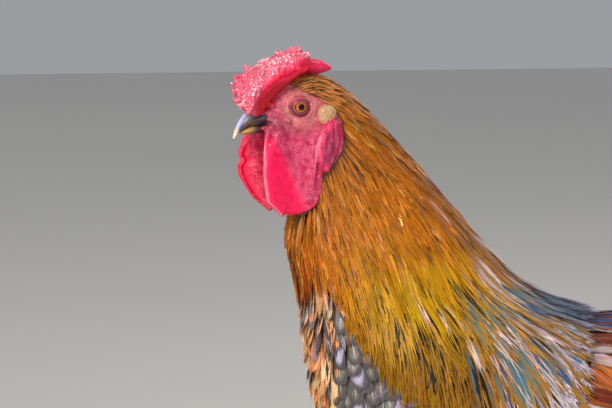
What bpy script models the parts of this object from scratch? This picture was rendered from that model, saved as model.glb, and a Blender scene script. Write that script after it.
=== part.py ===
"""A rose-combed farmyard cock, standing still with its head turned a little to its left, at life size.

The file is in metres with +Z up. The bird faces -X and its left side is towards -Y. Every length below is in
millimetres, measured from the floor and from the vertical line between the eyes; MM turns them into metres.
The body is shaped whole, as one skin-to-feather-tip form, and is then parted by thin cuts.
"""

import math
from collections import namedtuple

import bmesh
import bpy
import numpy as np
from mathutils import Matrix, Vector

# ---------------------------------------------------------------- driving dimensions, in millimetres
MM = 0.001
GAP = 0.35                      # clearance that a touching neighbour keeps
CUT = 0.55                      # how far a cutter stands proud of the piece it stands for

EYE_LEVEL = 555.0
EYE_RADIUS = 7.6
EYE_SIDE = 9.4                  # from the middle of the head to the middle of the eyeball
HEAD_TURN = math.radians(16.0)  # the head looks this much to the bird's left
HEAD_PIVOT_X = 35.0
WATTLE_SWING = -11.5            # how far forward the right wattle has swung past the left one

WING_THICKNESS = 11.0
FLIGHT_THICKNESS = 7.0
BLADE_THICKNESS = 2.6           # of a tail feather's solid

LEG_SIDE = 46.0                 # from the middle plane to the foot
FOOT_X = 160.0

LEFT, RIGHT = -1, 1             # the sign of Y on each side

Station = namedtuple("Station", "name back front width cape")
# back and front are (x, z) points on the upper and the under outline, width is half the breadth there, and cape is
# how much further out the draped hackle lies.
BODY = (
    Station("beak root", (-21.0, 556.5), (-19.5, 535.8), 7.4, 0),
    Station("lores", (-15.5, 563.0), (-13.5, 530.5), 10.6, 0),
    Station("brow", (-8.0, 568.5), (-6.5, 525.5), 13.6, 0),
    Station("eyes", (0.0, 572.5), (0.0, 519.0), 15.8, 0),
    Station("ears", (13.0, 575.5), (5.0, 509.0), 17.6, 0),
    Station("nape", (33.0, 567.5), (4.0, 496.0), 20.5, 0),
    Station("upper neck", (56.0, 547.0), (-0.5, 482.0), 28.0, 0),
    Station("middle neck", (92.0, 506.0), (-3.0, 459.0), 41.0, 0),
    Station("lower neck", (126.0, 463.5), (1.5, 438.0), 54.0, 0),
    Station("neck root", (154.0, 433.0), (6.5, 415.0), 65.0, 3),
    Station("shoulders", (181.0, 415.5), (9.5, 388.0), 74.0, 8),
    Station("upper breast", (205.0, 408.5), (15.0, 350.0), 81.0, 12),
    Station("breast", (225.0, 406.0), (28.0, 303.0), 85.0, 13),
    Station("keel", (243.0, 406.0), (54.0, 253.0), 86.0, 12),
    Station("belly", (260.0, 408.0), (98.0, 216.0), 84.0, 8),
    Station("flank", (276.0, 412.0), (152.0, 203.0), 78.0, 4),
    Station("fluff", (290.0, 418.0), (206.0, 213.0), 67.0, 0),
    Station("rump", (303.0, 426.5), (251.0, 250.0), 54.0, 0),
    Station("vent", (315.0, 437.0), (284.0, 301.0), 41.0, 0),
    Station("tail root", (326.0, 448.0), (303.0, 346.0), 32.0, 0),
)
HEAD_RINGS = 2                  # rings for each span between stations, on the head; one on the rest
RING_POINTS = 18
BELLY_SWELL = 0.10              # the body is broadest below its middle
HEAD_STATIONS = 5               # stations before the one where the head ends

COVERTS = (
    Station("tail root", (326.6, 448.8), (303.8, 345.4), 31.5, 0),
    Station("lower coverts", (340.0, 474.0), (338.0, 364.0), 29.0, 0),
    Station("middle coverts", (362.0, 500.0), (374.0, 396.0), 24.0, 0),
    Station("upper coverts", (390.0, 520.0), (408.0, 432.0), 16.5, 0),
    Station("covert tips", (418.0, 531.0), (434.0, 470.0), 9.0, 0),
    Station("last tips", (440.0, 536.0), (450.0, 502.0), 3.0, 0),
)

# The hackle's lower edge, seen from the side: from the throat down over the shoulder and up to the back.
CAPE_EDGE = ((-40, 424), (8, 417), (24, 424), (50, 385), (84, 352), (126, 331), (162, 343), (181, 380), (193, 411),
             (202, 450))

Beak = namedtuple("Beak", "name culmen mouth keel width")
BEAK = (
    Beak("root", (-21.4, 556.4), (-20.5, 543.8), (-19.9, 535.8), 7.2),
    Beak("nostril", (-28.0, 556.0), (-26.0, 543.4), (-25.0, 534.8), 6.7),
    Beak("ridge", (-34.0, 552.0), (-31.5, 542.2), (-30.5, 534.0), 5.8),
    Beak("bend", (-39.2, 545.6), (-36.5, 539.6), (-35.5, 533.7), 4.5),
    Beak("hook", (-42.6, 538.8), (-40.3, 536.5), (-39.0, 534.0), 2.8),
    Beak("tip", (-44.0, 533.6), (-43.0, 533.0), (-40.6, 534.8), 0.8),
)

Comb = namedtuple("Comb", "name base top width")
COMB = (
    Comb("front foot", (-23.0, 546.0), (-31.0, 548.5), 6.0),
    Comb("front lobe", (-21.5, 551.0), (-39.5, 556.5), 13.0),
    Comb("front", (-18.0, 556.5), (-41.0, 567.0), 16.5),
    Comb("fore middle", (-13.0, 562.5), (-35.0, 576.0), 17.5),
    Comb("middle", (-7.0, 567.5), (-24.5, 582.0), 17.5),
    Comb("rear middle", (-1.0, 571.5), (-13.0, 587.5), 16.0),
    Comb("rear", (4.0, 574.0), (-2.0, 592.5), 14.0),
    Comb("heel", (8.0, 575.5), (7.0, 592.0), 11.0),
    Comb("spike root", (11.0, 576.3), (11.5, 586.5), 6.6),
    Comb("spike", (20.0, 575.4), (20.0, 584.6), 4.9),
    Comb("spike tip", (28.0, 577.6), (28.2, 579.6), 1.0),
)

Wing = namedtuple("Wing", "x top bottom depth")
WING = (
    Wing(58, 352, 344, 6), Wing(76, 384, 312, 26), Wing(112, 401, 292, 38), Wing(160, 404, 283, 42),
    Wing(208, 398, 283, 40), Wing(252, 383, 292, 30), Wing(288, 361, 305, 19), Wing(314, 339, 322, 7),
)
WING_SIDE = 76.0                # from the middle plane to the middle of the folded wing
# Where the coverts end and the flight feathers show, seen from the side.
FLIGHT_EDGE = ((40, 252), (84, 288), (130, 301), (180, 312), (222, 336), (243, 368), (252, 430))

Limb = namedtuple("Limb", "x side z along across")
THIGH = (
    Limb(121, 36, 288, 14, 11), Limb(122, 40, 277, 35, 27),
    Limb(126, 43, 262, 47, 36), Limb(135, 44, 240, 45, 35), Limb(147, 45, 212, 38, 31), Limb(160, 46, 186, 29, 25),
    Limb(172, 46, 162, 21, 18.5), Limb(181, 46, 145, 15, 14), Limb(184.5, 46, 134.5, 11.5, 11.5),
)
SHANK = (
    Limb(185, 46, 133.8, 10.0, 9.0), Limb(186, 46, 126, 10.8, 8.8), Limb(183.5, 46, 115, 8.6, 6.9),
    Limb(178, 46, 90, 7.4, 6.0), Limb(172, 46, 62, 7.2, 6.0), Limb(166.5, 46, 36, 7.8, 6.8),
    Limb(162.5, 46, 18, 9.4, 8.6), Limb(160.5, 46, 7, 9.8, 9.4), Limb(160, 46, 0, 8.6, 8.4),
)

Toe = namedtuple("Toe", "name heading length root tip claw")
# heading is the angle from straight ahead towards the middle plane, in degrees; root and tip are radii.
TOES = (
    Toe("middle_toe", 2, 66, 7.0, 5.0, 15),
    Toe("inner_toe", 33, 47, 6.6, 4.8, 13),
    Toe("outer_toe", -36, 50, 6.4, 4.7, 12.5),
    Toe("hind_toe", 168, 28, 5.8, 4.5, 12),
)
SPUR_X = 174.0
SPUR_Z = 52.0
SPUR_LENGTH = 21.0

FAN_ROOT = (316.0, 396.0)       # where the stiff tail feathers meet, as (x, z)
FAN_FEATHERS = 7
FAN_ANGLES = (22.0, 70.0)       # above the horizontal, lowest and highest feather
FAN_LENGTH = 176.0
FAN_START = 56.0
FAN_LEAN = math.radians(13.0)   # each half of the tail slopes out and down, like a roof

Sickle = namedtuple("Sickle", "name path root side width lean")
# path is four (x, z) points of a Bezier curve; root and side are the distances from the middle plane at the foot and
# further on; lean is the slope of the blade, in degrees from upright.
SICKLES = (
    Sickle("sickle", ((334, 470), (366, 612), (452, 640), (484, 470)), 8.0, 14.0, 15.5, 16),
    Sickle("lesser_sickle", ((338, 452), (378, 578), (440, 596), (466, 432)), 13.0, 25.5, 14.0, 20),
    Sickle("low_sickle", ((336, 434), (376, 532), (424, 546), (446, 404)), 17.0, 37.0, 13.0, 22),
    Sickle("hanger", ((342, 424), (368, 486), (406, 490), (420, 376)), 16.0, 46.0, 12.0, 22),
)


# ---------------------------------------------------------------- materials and scene
def material(name, colour, roughness, metallic=0.0):
    made = bpy.data.materials.new(name)
    made.use_nodes = True
    shader = made.node_tree.nodes["Principled BSDF"]
    shader.inputs["Base Color"].default_value = (*colour, 1.0)
    shader.inputs["Roughness"].default_value = roughness
    shader.inputs["Metallic"].default_value = metallic
    return made


def clear_scene():
    for old in list(bpy.data.objects):
        bpy.data.objects.remove(old)


def add_object(name, mesh, finish, cutter=False):
    mesh.shade_smooth()
    mesh.set_sharp_from_angle(angle=math.radians(40))
    made = bpy.data.objects.new(name, mesh)
    bpy.context.scene.collection.objects.link(made)
    if finish:
        mesh.materials.append(finish)
    if cutter:
        made.hide_render = True
        made.display_type = "WIRE"
    return made


def boolean(target, operation, *others):
    for other in others:
        step = target.modifiers.new(f"{operation.lower()} {other.name}", "BOOLEAN")
        step.operation = operation
        step.object = other
        step.solver = "EXACT"


# ---------------------------------------------------------------- shape helpers
def spline(rows, per_span):
    """Rows of numbers made denser along a Catmull-Rom curve that passes through each of them."""
    rows = np.array(rows, float)
    padded = np.vstack([2 * rows[0] - rows[1], rows, 2 * rows[-1] - rows[-2]])
    dense = []
    for i in range(len(rows) - 1):
        a, b, c, d = padded[i : i + 4]
        for t in np.arange(per_span) / per_span:
            dense.append(0.5 * (2 * b + (c - a) * t + (2 * a - 5 * b + 4 * c - d) * t**2
                                + (3 * b - a - 3 * c + d) * t**3))
    dense.append(rows[-1])
    return np.array(dense)


def turned_with_head(points, share=1.0):
    """Points turned to the bird's left about the top of the neck, by a share of the head's turn."""
    angle = HEAD_TURN * share
    x, y = points[..., 0] - HEAD_PIVOT_X, points[..., 1]
    turned = np.array(points, float)
    turned[..., 0] = HEAD_PIVOT_X + x * math.cos(angle) - y * math.sin(angle)
    turned[..., 1] = x * math.sin(angle) + y * math.cos(angle)
    return turned


def tube_mesh(name, rings):
    """A closed mesh through rings of equal length, each end closed by a fan of triangles."""
    rings = np.array(rings, float)
    count, around = rings.shape[:2]
    points = np.vstack([rings.reshape(-1, 3), rings[0].mean(0), rings[-1].mean(0)])
    first_tip, last_tip = count * around, count * around + 1
    faces = []
    for i in range(count - 1):
        for j in range(around):
            k = (j + 1) % around
            faces.append((i * around + j, i * around + k, (i + 1) * around + k, (i + 1) * around + j))
    for j in range(around):
        k = (j + 1) % around
        faces.append((first_tip, k, j))
        faces.append((last_tip, (count - 1) * around + j, (count - 1) * around + k))
    return face_outwards(name, points * MM, faces)


def face_outwards(name, points, faces):
    mesh = bpy.data.meshes.new(name)
    mesh.from_pydata([tuple(p) for p in points], [], faces)
    shape = bmesh.new()
    shape.from_mesh(mesh)
    bmesh.ops.remove_doubles(shape, verts=shape.verts, dist=1e-6)
    bmesh.ops.triangulate(shape, faces=shape.faces)
    bmesh.ops.recalc_face_normals(shape, faces=shape.faces)
    shape.to_mesh(mesh)
    shape.free()
    return mesh


def grown(name, mesh, amount):
    """A cutter: a copy of a mesh whose surface stands proud of it by an amount."""
    made = mesh.copy()
    normals = [v.normal.copy() for v in mesh.vertices]
    for vertex, normal in zip(made.vertices, normals):
        vertex.co += normal * amount * MM
    return add_object(name, made, None, cutter=True)


def oval(high, low, width, swell=0.0, points=RING_POINTS):
    """A ring across the middle plane, from its high to its low (x, z) point; swell moves its breadth downwards."""
    angles = np.linspace(0, 2 * math.pi, points, endpoint=False)
    high, low = np.array(high, float), np.array(low, float)
    middle, reach = (high + low) / 2, (high - low) / 2
    ring = np.zeros((points, 3))
    ring[:, 0] = middle[0] + reach[0] * np.cos(angles)
    ring[:, 2] = middle[1] + reach[1] * np.cos(angles)
    ring[:, 1] = width * np.sin(angles) * (1 - swell * np.cos(angles))
    return ring


def across(rings, side):
    """The same rings for the bird's right side, or unchanged for its left."""
    flipped = np.array(rings, float)
    flipped[..., 1] *= -side
    return flipped


# ---------------------------------------------------------------- head, neck and trunk
def body_rings(with_cape=False):
    """Rings from the beak's root to the tail's, closer together on the head."""
    rows = spline([(*s.back, *s.front, s.width, s.cape) for s in BODY], HEAD_RINGS)
    rings = []
    for i, (back_x, back_z, front_x, front_z, width, cape) in enumerate(rows):
        station = i / HEAD_RINGS
        if station > HEAD_STATIONS and i % HEAD_RINGS:
            continue
        swell = BELLY_SWELL * min(1.0, station / HEAD_STATIONS)
        ring = oval((back_x, back_z), (front_x, front_z), width + (cape if with_cape else 0), swell)
        share = np.clip((HEAD_STATIONS + 4 - station) / 4, 0, 1)
        rings.append(turned_with_head(ring, share * share * (3 - 2 * share)))
    return np.array(rings)


def unit(vector):
    return vector / np.linalg.norm(vector)


def side_prism(name, outline, low, high):
    """A cutter: an (x, z) outline drawn out along Y from low to high."""
    count = len(outline)
    points = [(x, y, z) for y in (low, high) for x, z in outline]
    faces = [tuple(range(count)), tuple(range(count, 2 * count))]
    faces += [(i, (i + 1) % count, count + (i + 1) % count, count + i) for i in range(count)]
    return add_object(name, face_outwards(name, np.array(points) * MM, faces), None, cutter=True)


def region_above(name, edge, grow=0.0):
    """A cutter for all that lies above a curve in the side view, moved down by grow."""
    curve = spline([(x, z - grow) for x, z in edge], 3)
    top = 620
    outline = [tuple(p) for p in curve] + [(curve[-1][0], top), (curve[0][0], top)]
    return side_prism(name, outline, -150, 150)


def make_body(plumage, skin):
    split = HEAD_STATIONS * HEAD_RINGS
    plain = body_rings()
    head_rings = plain[: split + 1].copy()
    step = head_rings[-2] - head_rings[-1]
    head_rings[-1] += step * GAP / np.linalg.norm(step.mean(0))
    head = add_object("head", tube_mesh("head", head_rings), skin)

    caped = body_rings(with_cape=True)
    neck = add_object("neck", tube_mesh("neck", caped[split:]), plumage["hackle"])
    boolean(neck, "INTERSECT", region_above("cape_region", CAPE_EDGE))

    trunk = add_object("trunk", tube_mesh("trunk", plain[split + 2 :]), plumage["breast"])
    boolean(trunk, "DIFFERENCE", region_above("cape_region_wide", CAPE_EDGE, CUT))

    return head


# ---------------------------------------------------------------- beak, comb, wattles, ears and eyes
def beak_half(name, lower=False):
    """The upper or the lower half of the beak, on each side of the line where the mouth shuts."""
    rows = spline([(*b.culmen, *b.mouth, *b.keel, b.width) for b in BEAK], 2)
    rings = []
    for cx, cz, mx, mz, kx, kz, width in rows:
        if lower:
            ring = oval((mx, mz - GAP / 2), (kx, kz), width * 0.9, swell=-0.25, points=12)
        else:
            ring = oval((cx, cz), (mx, mz + GAP / 2), width, swell=0.3, points=12)
        rings.append(turned_with_head(ring))
    return tube_mesh(name, rings[:-3] if lower else rings)


def make_beak(horn):
    upper = beak_half("upper_beak")
    grown("beak_cutter", upper, CUT)
    add_object("upper_beak", upper, horn)
    add_object("lower_beak", beak_half("lower_beak", lower=True), horn)


def comb_ring(base, top, width, along):
    """A section that is narrow at its foot, broad above and set with blunt points."""
    angles = np.linspace(0, 2 * math.pi, 12, endpoint=False)
    base, top = np.array(base), np.array(top)
    middle, reach = (base + top) / 2, (top - base) / 2
    upper = np.clip(np.cos(angles) + 0.35, 0, 1)
    knobs = 1 + 0.13 * upper * np.cos(5 * angles + 2.1 * along) * np.cos(2.6 * along)
    ring = np.zeros((len(angles), 3))
    ring[:, 0] = middle[0] + reach[0] * np.cos(angles) * knobs
    ring[:, 2] = middle[1] + reach[1] * np.cos(angles) * knobs
    ring[:, 1] = width * np.sin(angles) * (1 + 0.28 * np.cos(angles)) * knobs
    return ring


def make_comb(flesh, *cutters):
    rows = spline([(*c.base, *c.top, c.width) for c in COMB], 2)
    rings = [turned_with_head(comb_ring(r[0:2], r[2:4], r[4], i)) for i, r in enumerate(rows)]
    comb = add_object("comb", tube_mesh("comb", rings), flesh)
    boolean(comb, "DIFFERENCE", *cutters)


def lobe_rings(length, breadth, thickness, cup, points=12, rings=8):
    """A flat hanging lobe about its own middle: length down Z, breadth along X, cupped out at its edges."""
    made = []
    for t in np.linspace(0, math.pi, rings):
        angles = np.linspace(0, 2 * math.pi, points, endpoint=False)
        spread = max(math.sin(t) ** 0.8, 0.03)
        x = breadth * spread * np.cos(angles)
        y = thickness * max(math.sin(t) ** 0.5, 0.12) * np.sin(angles)
        y += cup * (x / breadth) ** 2
        made.append(np.column_stack([x, y, np.full(points, length * math.cos(t))]))
    return np.array(made)


def place_lobe(name, rings, centre, lean, flesh, cutters):
    """Leans a lobe in the side view, puts it at its place on the head and cuts it back from its neighbours."""
    c, s = math.cos(lean), math.sin(lean)
    placed = rings.copy()
    placed[..., 0] = centre[0] + rings[..., 0] * c + rings[..., 2] * s
    placed[..., 2] = centre[2] - rings[..., 0] * s + rings[..., 2] * c
    placed[..., 1] += centre[1]
    piece = add_object(name, tube_mesh(name, turned_with_head(placed)), flesh)
    boolean(piece, "DIFFERENCE", *cutters)
    return piece


def make_lobes(flesh, cream, body_cutter):
    for side, word, swing in ((LEFT, "left", 0.0), (RIGHT, "right", WATTLE_SWING)):
        wattle = across(lobe_rings(30.5, 21.5, 3.4, -4.5), side)
        place_lobe(f"wattle_{word}", wattle, (-5.0 + swing, side * 12.5, 511.0), 0.0, flesh, [body_cutter])
        ear = across(lobe_rings(6.6, 6.4, 4.4, 0.0, points=10, rings=6), side)
        tuft = place_lobe(f"ear_{word}", ear, (18.5, side * 16.6, 549.0), 0.5, cream, [body_cutter])
        tuft_cutter = grown(f"ear_cutter_{word}", tuft.data, CUT)
        earlobe = across(lobe_rings(18.5, 8.4, 4.2, 0.0), side)
        place_lobe(f"earlobe_{word}", earlobe, (18.2, side * 21.4, 528.0), 0.24, flesh, [body_cutter, tuft_cutter])


def ball_mesh(name, radius):
    shape = bmesh.new()
    bmesh.ops.create_uvsphere(shape, u_segments=12, v_segments=6, radius=radius * MM)
    mesh = bpy.data.meshes.new(name)
    shape.to_mesh(mesh)
    shape.free()
    return mesh


def make_eyes(head, eye_finish):
    for side, word in ((LEFT, "left"), (RIGHT, "right")):
        place = turned_with_head(np.array((0.0, side * EYE_SIDE, EYE_LEVEL))) * MM
        eye = add_object(f"eye_{word}", ball_mesh(f"eye_{word}", EYE_RADIUS), eye_finish)
        socket = add_object(f"socket_{word}", ball_mesh(f"socket_{word}", EYE_RADIUS + CUT), None, cutter=True)
        for piece in (eye, socket):
            piece.location = place
            piece.rotation_euler = (math.radians(90), 0, HEAD_TURN)
        boolean(head, "DIFFERENCE", socket)


# ---------------------------------------------------------------- wings
def wing_form(name, side, finish):
    rows = spline([tuple(w) for w in WING], 1)
    rings = []
    for x, top, bottom, depth in rows:
        angles = np.linspace(0, 2 * math.pi, 12, endpoint=False)
        ring = np.zeros((12, 3))
        ring[:, 0] = x
        ring[:, 1] = side * WING_SIDE + depth * np.sin(angles)
        ring[:, 2] = (top + bottom) / 2 + (top - bottom) / 2 * np.cos(angles)
        rings.append(ring)
    return add_object(name, tube_mesh(name, rings), finish)


def body_cutter(name, amount, with_cape=False):
    return grown(name, tube_mesh(name, body_rings(with_cape)), amount)


def make_wings(plumage, inner):
    cape = bpy.data.objects["cape_region_wide"]
    coverts_shell = body_cutter("wing_shell", WING_THICKNESS)
    flight_shell = body_cutter("flight_shell", FLIGHT_THICKNESS)
    coverts_region = region_above("wing_coverts_region", FLIGHT_EDGE)
    flight_side = region_above("wing_coverts_region_wide", FLIGHT_EDGE, CUT)
    for side, word in ((LEFT, "left"), (RIGHT, "right")):
        coverts = wing_form(f"wing_{word}", side, plumage["wing"])
        boolean(coverts, "INTERSECT", coverts_shell, coverts_region)
        boolean(coverts, "DIFFERENCE", inner, cape)
        flights = wing_form(f"flights_{word}", side, plumage["flight"])
        boolean(flights, "INTERSECT", flight_shell)
        boolean(flights, "DIFFERENCE", inner, flight_side, cape)


# ---------------------------------------------------------------- legs and feet
def limb_mesh(name, stations, side, points=12):
    """A limb that stands nearly upright, through level rings."""
    rings = []
    angles = np.linspace(0, 2 * math.pi, points, endpoint=False)
    for x, out, z, along, width in stations:
        ring = np.zeros((points, 3))
        ring[:, 0] = x + along * np.cos(angles)
        ring[:, 1] = side * out + width * np.sin(angles)
        ring[:, 2] = z
        rings.append(ring)
    return tube_mesh(name, rings)


def toe_rings(toe, side):
    """Rings across a toe from the foot's middle to its end, flat below at floor level, swelling at each joint."""
    heading = math.radians(toe.heading)
    ahead = np.array((-math.cos(heading), -side * math.sin(heading), 0.0))
    aside = np.array((-ahead[1], ahead[0], 0.0))
    foot = np.array((FOOT_X, side * LEG_SIDE, 0.0))
    angles = np.linspace(0, 2 * math.pi, 8, endpoint=False)
    rings = []
    for t in np.linspace(0, 1, 6):
        radius = toe.root + (toe.tip - toe.root) * t + 0.5 * math.cos(t * 5 * math.pi)
        height = radius * 0.86 + 2.2 * (1 - t) ** 2
        ring = foot + ahead * (2.0 + (toe.length - 2.0) * t) + np.outer(np.cos(angles) * radius, aside)
        ring[:, 2] = np.maximum(height + np.sin(angles) * radius, 0)
        rings.append(ring)
    return np.array(rings), ahead


def claw_rings(toe, side, ahead, end):
    """A horn that leaves the toe level and bends down until its point is just over the floor."""
    start = end.mean(0) * (1, 1, 0) + ahead * GAP
    aside = np.array((-ahead[1], ahead[0], 0.0))
    angles = np.linspace(0, 2 * math.pi, 6, endpoint=False)
    rings = []
    for t in np.linspace(0, 1, 4):
        radius = 0.55 + 2.9 * (1 - t) ** 0.8
        height = max(5.2 - 4.4 * t**1.6, radius + 0.05)
        lean = 0.9 * t
        up = np.array((0, 0, math.cos(lean))) + ahead * math.sin(lean)
        centre = start + ahead * toe.claw * t + np.array((0, 0, height))
        ring = centre + np.outer(np.cos(angles) * radius * 0.85, aside) + np.outer(np.sin(angles) * radius, up)
        rings.append(ring)
    return rings


def make_leg(side, word, plumage, scales, horn, trunk_cutter):
    thigh = add_object(f"thigh_{word}", limb_mesh("thigh", THIGH, side), plumage["fluff"])
    boolean(thigh, "DIFFERENCE", trunk_cutter)

    shank = limb_mesh("shank", SHANK, side, points=10)
    shank_cutter = grown(f"shank_cutter_{word}", shank, CUT)
    add_object(f"shank_{word}", shank, scales)
    cutters = [shank_cutter]
    for toe in TOES:
        rings, ahead = toe_rings(toe, side)
        mesh = tube_mesh(toe.name, rings)
        if len(cutters) == 1:
            cutters.append(grown(f"{toe.name}_cutter_{word}", mesh, CUT))
            boolean(add_object(f"{toe.name}_{word}", mesh, scales), "DIFFERENCE", shank_cutter)
        else:
            boolean(add_object(f"{toe.name}_{word}", mesh, scales), "DIFFERENCE", *cutters)
        claw = claw_rings(toe, side, ahead, rings[-1])
        add_object(toe.name.replace("toe", "claw") + f"_{word}", tube_mesh("claw", claw), horn)
    make_spur(side, word, horn, shank_cutter)


def make_spur(side, word, horn, shank_cutter):
    """A short thick horn on the inner side of the shank, pointing in, back and a little up."""
    start = np.array((SPUR_X, side * LEG_SIDE, SPUR_Z))
    angles = np.linspace(0, 2 * math.pi, 8, endpoint=False)
    rings = []
    for t in np.linspace(0, 1, 5):
        bend = 0.5 * t
        ahead = unit(np.array((0.8, -side * 0.62, 0.1 + bend)))
        aside = unit(np.cross(ahead, (0, 0, 1)))
        up = np.cross(aside, ahead)
        radius = 0.6 + 4.2 * (1 - t) ** 0.85
        centre = start + ahead * (SPUR_LENGTH + 7) * t
        rings.append(centre + np.outer(np.cos(angles) * radius, aside) + np.outer(np.sin(angles) * radius, up))
    spur = add_object(f"spur_{word}", tube_mesh("spur", rings), horn)
    boolean(spur, "DIFFERENCE", shank_cutter)


# ---------------------------------------------------------------- tail
def fan_outline():
    """One half of the stiff tail in its own plane, as distances along and above the fan's root: scalloped tips."""
    low, high = (math.radians(a) for a in FAN_ANGLES)
    each = (high - low) / FAN_FEATHERS
    outline = []
    for i in range(FAN_FEATHERS):
        for share in (0.08, 0.5, 0.92):
            angle = low + each * (i + share)
            tip = 1 - 0.10 * abs(2 * share - 1) ** 2.2
            length = FAN_LENGTH * (0.86 + 0.14 * (i + share) / FAN_FEATHERS) * tip
            outline.append((length * math.cos(angle), length * math.sin(angle)))
    outline.append((FAN_START * math.cos(high), FAN_START * math.sin(high)))
    outline.append((FAN_START * math.cos(low), FAN_START * math.sin(low)))
    return outline


def make_fan(side, word, finish, coverts_cutter):
    ridge = math.radians(FAN_ANGLES[1])
    along = Vector((math.cos(ridge), 0, math.sin(ridge)))
    outline = fan_outline()
    count = len(outline)
    points = [(x, side * y, z) for y in (0.4, 0.4 + BLADE_THICKNESS) for x, z in outline]
    faces = [tuple(range(count)), tuple(range(count, 2 * count))]
    faces += [(i, (i + 1) % count, count + (i + 1) % count, count + i) for i in range(count)]
    mesh = face_outwards("fan", np.array(points) * MM, faces)
    mesh.transform(Matrix.Rotation(side * FAN_LEAN, 4, along))
    fan = add_object(f"tail_{word}", mesh, finish)
    fan.location = (FAN_ROOT[0] * MM, side * 0.6 * MM, FAN_ROOT[1] * MM)
    boolean(fan, "DIFFERENCE", coverts_cutter)


def bezier(path, t):
    a, b, c, d = (np.array(p, float) for p in path)
    return a * (1 - t) ** 3 + 3 * b * t * (1 - t) ** 2 + 3 * c * t**2 * (1 - t) + d * t**3


def make_sickle(sickle, side, word, finish, coverts_cutter):
    """A long curved feather as a thin blade, broadest past its middle, with a blunt point and its lower edge out."""
    lean = math.radians(sickle.lean)
    rings = []
    for t in np.linspace(0, 1, 10):
        x, z = bezier(sickle.path, t)
        heading = unit(bezier(sickle.path, min(t + 0.01, 1)) - bezier(sickle.path, max(t - 0.01, 0)))
        aside = np.array((-heading[1] * math.cos(lean), -side * math.sin(lean), heading[0] * math.cos(lean)))
        through = np.cross((heading[0], 0, heading[1]), aside) * BLADE_THICKNESS / 2
        out = sickle.root + (sickle.side - sickle.root) * math.sin(min(t / 0.4, 1) * math.pi / 2) - 5.0 * t
        here = np.array((x, side * out, z))
        width = sickle.width * (0.45 + 0.55 * math.sin(math.pi * min(t * 0.9 + 0.12, 1)) ** 0.7) * (1 - t**7 * 0.85)
        rings.append([here + aside * width * share + through * thick
                      for share, thick in ((1, 0), (0.55, 1), (-0.55, 1), (-1, 0), (-0.55, -1), (0.55, -1))])
    blade = add_object(f"{sickle.name}_{word}", tube_mesh(sickle.name, rings), finish)
    boolean(blade, "DIFFERENCE", coverts_cutter)


def make_tail(finish):
    rows = spline([(*c.back, *c.front, c.width) for c in COVERTS], 2)
    coverts = tube_mesh("tail_coverts", [oval(row[0:2], row[2:4], row[4], points=16) for row in rows])
    cutter = grown("coverts_cutter", coverts, CUT)
    add_object("tail_coverts", coverts, finish)
    for side, word in ((LEFT, "left"), (RIGHT, "right")):
        make_fan(side, word, finish, cutter)
        for sickle in SICKLES:
            make_sickle(sickle, side, word, finish, cutter)


# ---------------------------------------------------------------- the whole bird
def stand_on_origin():
    """Hangs every piece on one empty, moved so that the origin is under the middle of the bird, on the floor."""
    graph = bpy.context.evaluated_depsgraph_get()
    corners = []
    for piece in bpy.data.objects:
        if not piece.hide_render:
            evaluated = piece.evaluated_get(graph)
            corners += [evaluated.matrix_world @ Vector(c) for c in evaluated.bound_box]
    low = np.min([tuple(c) for c in corners], axis=0)
    high = np.max([tuple(c) for c in corners], axis=0)
    whole = bpy.data.objects.new("cock", None)
    bpy.context.scene.collection.objects.link(whole)
    for piece in bpy.data.objects:
        if piece is not whole:
            piece.parent = whole
    whole.location = (-(low[0] + high[0]) / 2, -(low[1] + high[1]) / 2, -low[2])


def build():
    clear_scene()
    plumage = {
        "hackle": material("hackle", (0.52, 0.24, 0.03), 0.55),
        "breast": material("breast", (0.30, 0.28, 0.28), 0.7),
        "wing": material("wing", (0.30, 0.09, 0.03), 0.55),
        "flight": material("flight", (0.10, 0.07, 0.06), 0.55),
        "fluff": material("fluff", (0.24, 0.22, 0.22), 0.85),
        "tail": material("tail", (0.02, 0.05, 0.05), 0.35),
    }
    flesh = material("comb flesh", (0.62, 0.02, 0.05), 0.45)
    skin = material("face skin", (0.60, 0.10, 0.11), 0.55)
    cream = material("ear feathers", (0.66, 0.46, 0.22), 0.8)
    horn = material("horn", (0.42, 0.36, 0.24), 0.35)
    scales = material("leg scales", (0.62, 0.42, 0.10), 0.5)
    eye_finish = material("eye", (0.60, 0.22, 0.02), 0.08)

    head = make_body(plumage, skin)
    make_beak(horn)
    make_eyes(head, eye_finish)
    skin_cutter = body_cutter("skin_cutter", CUT, with_cape=True)
    trunk_cutter = body_cutter("trunk_cutter", CUT)
    make_comb(flesh, skin_cutter, bpy.data.objects["beak_cutter"])
    make_lobes(flesh, cream, skin_cutter)
    make_wings(plumage, trunk_cutter)
    for side, word in ((LEFT, "left"), (RIGHT, "right")):
        make_leg(side, word, plumage, scales, horn, trunk_cutter)
    make_tail(plumage["tail"])
    stand_on_origin()


build()
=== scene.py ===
"""Dresses the rooster's solids: one skin, bright flesh, eyes, horn, scaled legs and a coat of single feathers.

Lengths inside the tables are in millimetres from HOME, the point of the floor that lies under the middle of the
head before it turns. The bird faces -X and its left side is towards -Y. MM turns them into metres.
"""

import math
from collections import namedtuple
from contextlib import contextmanager
from functools import cache
from itertools import product

import bmesh
import bpy
import numpy as np
from bpy.props import FloatProperty, FloatVectorProperty, PointerProperty
from mathutils import Matrix, Vector
from mathutils.bvhtree import BVHTree

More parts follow.
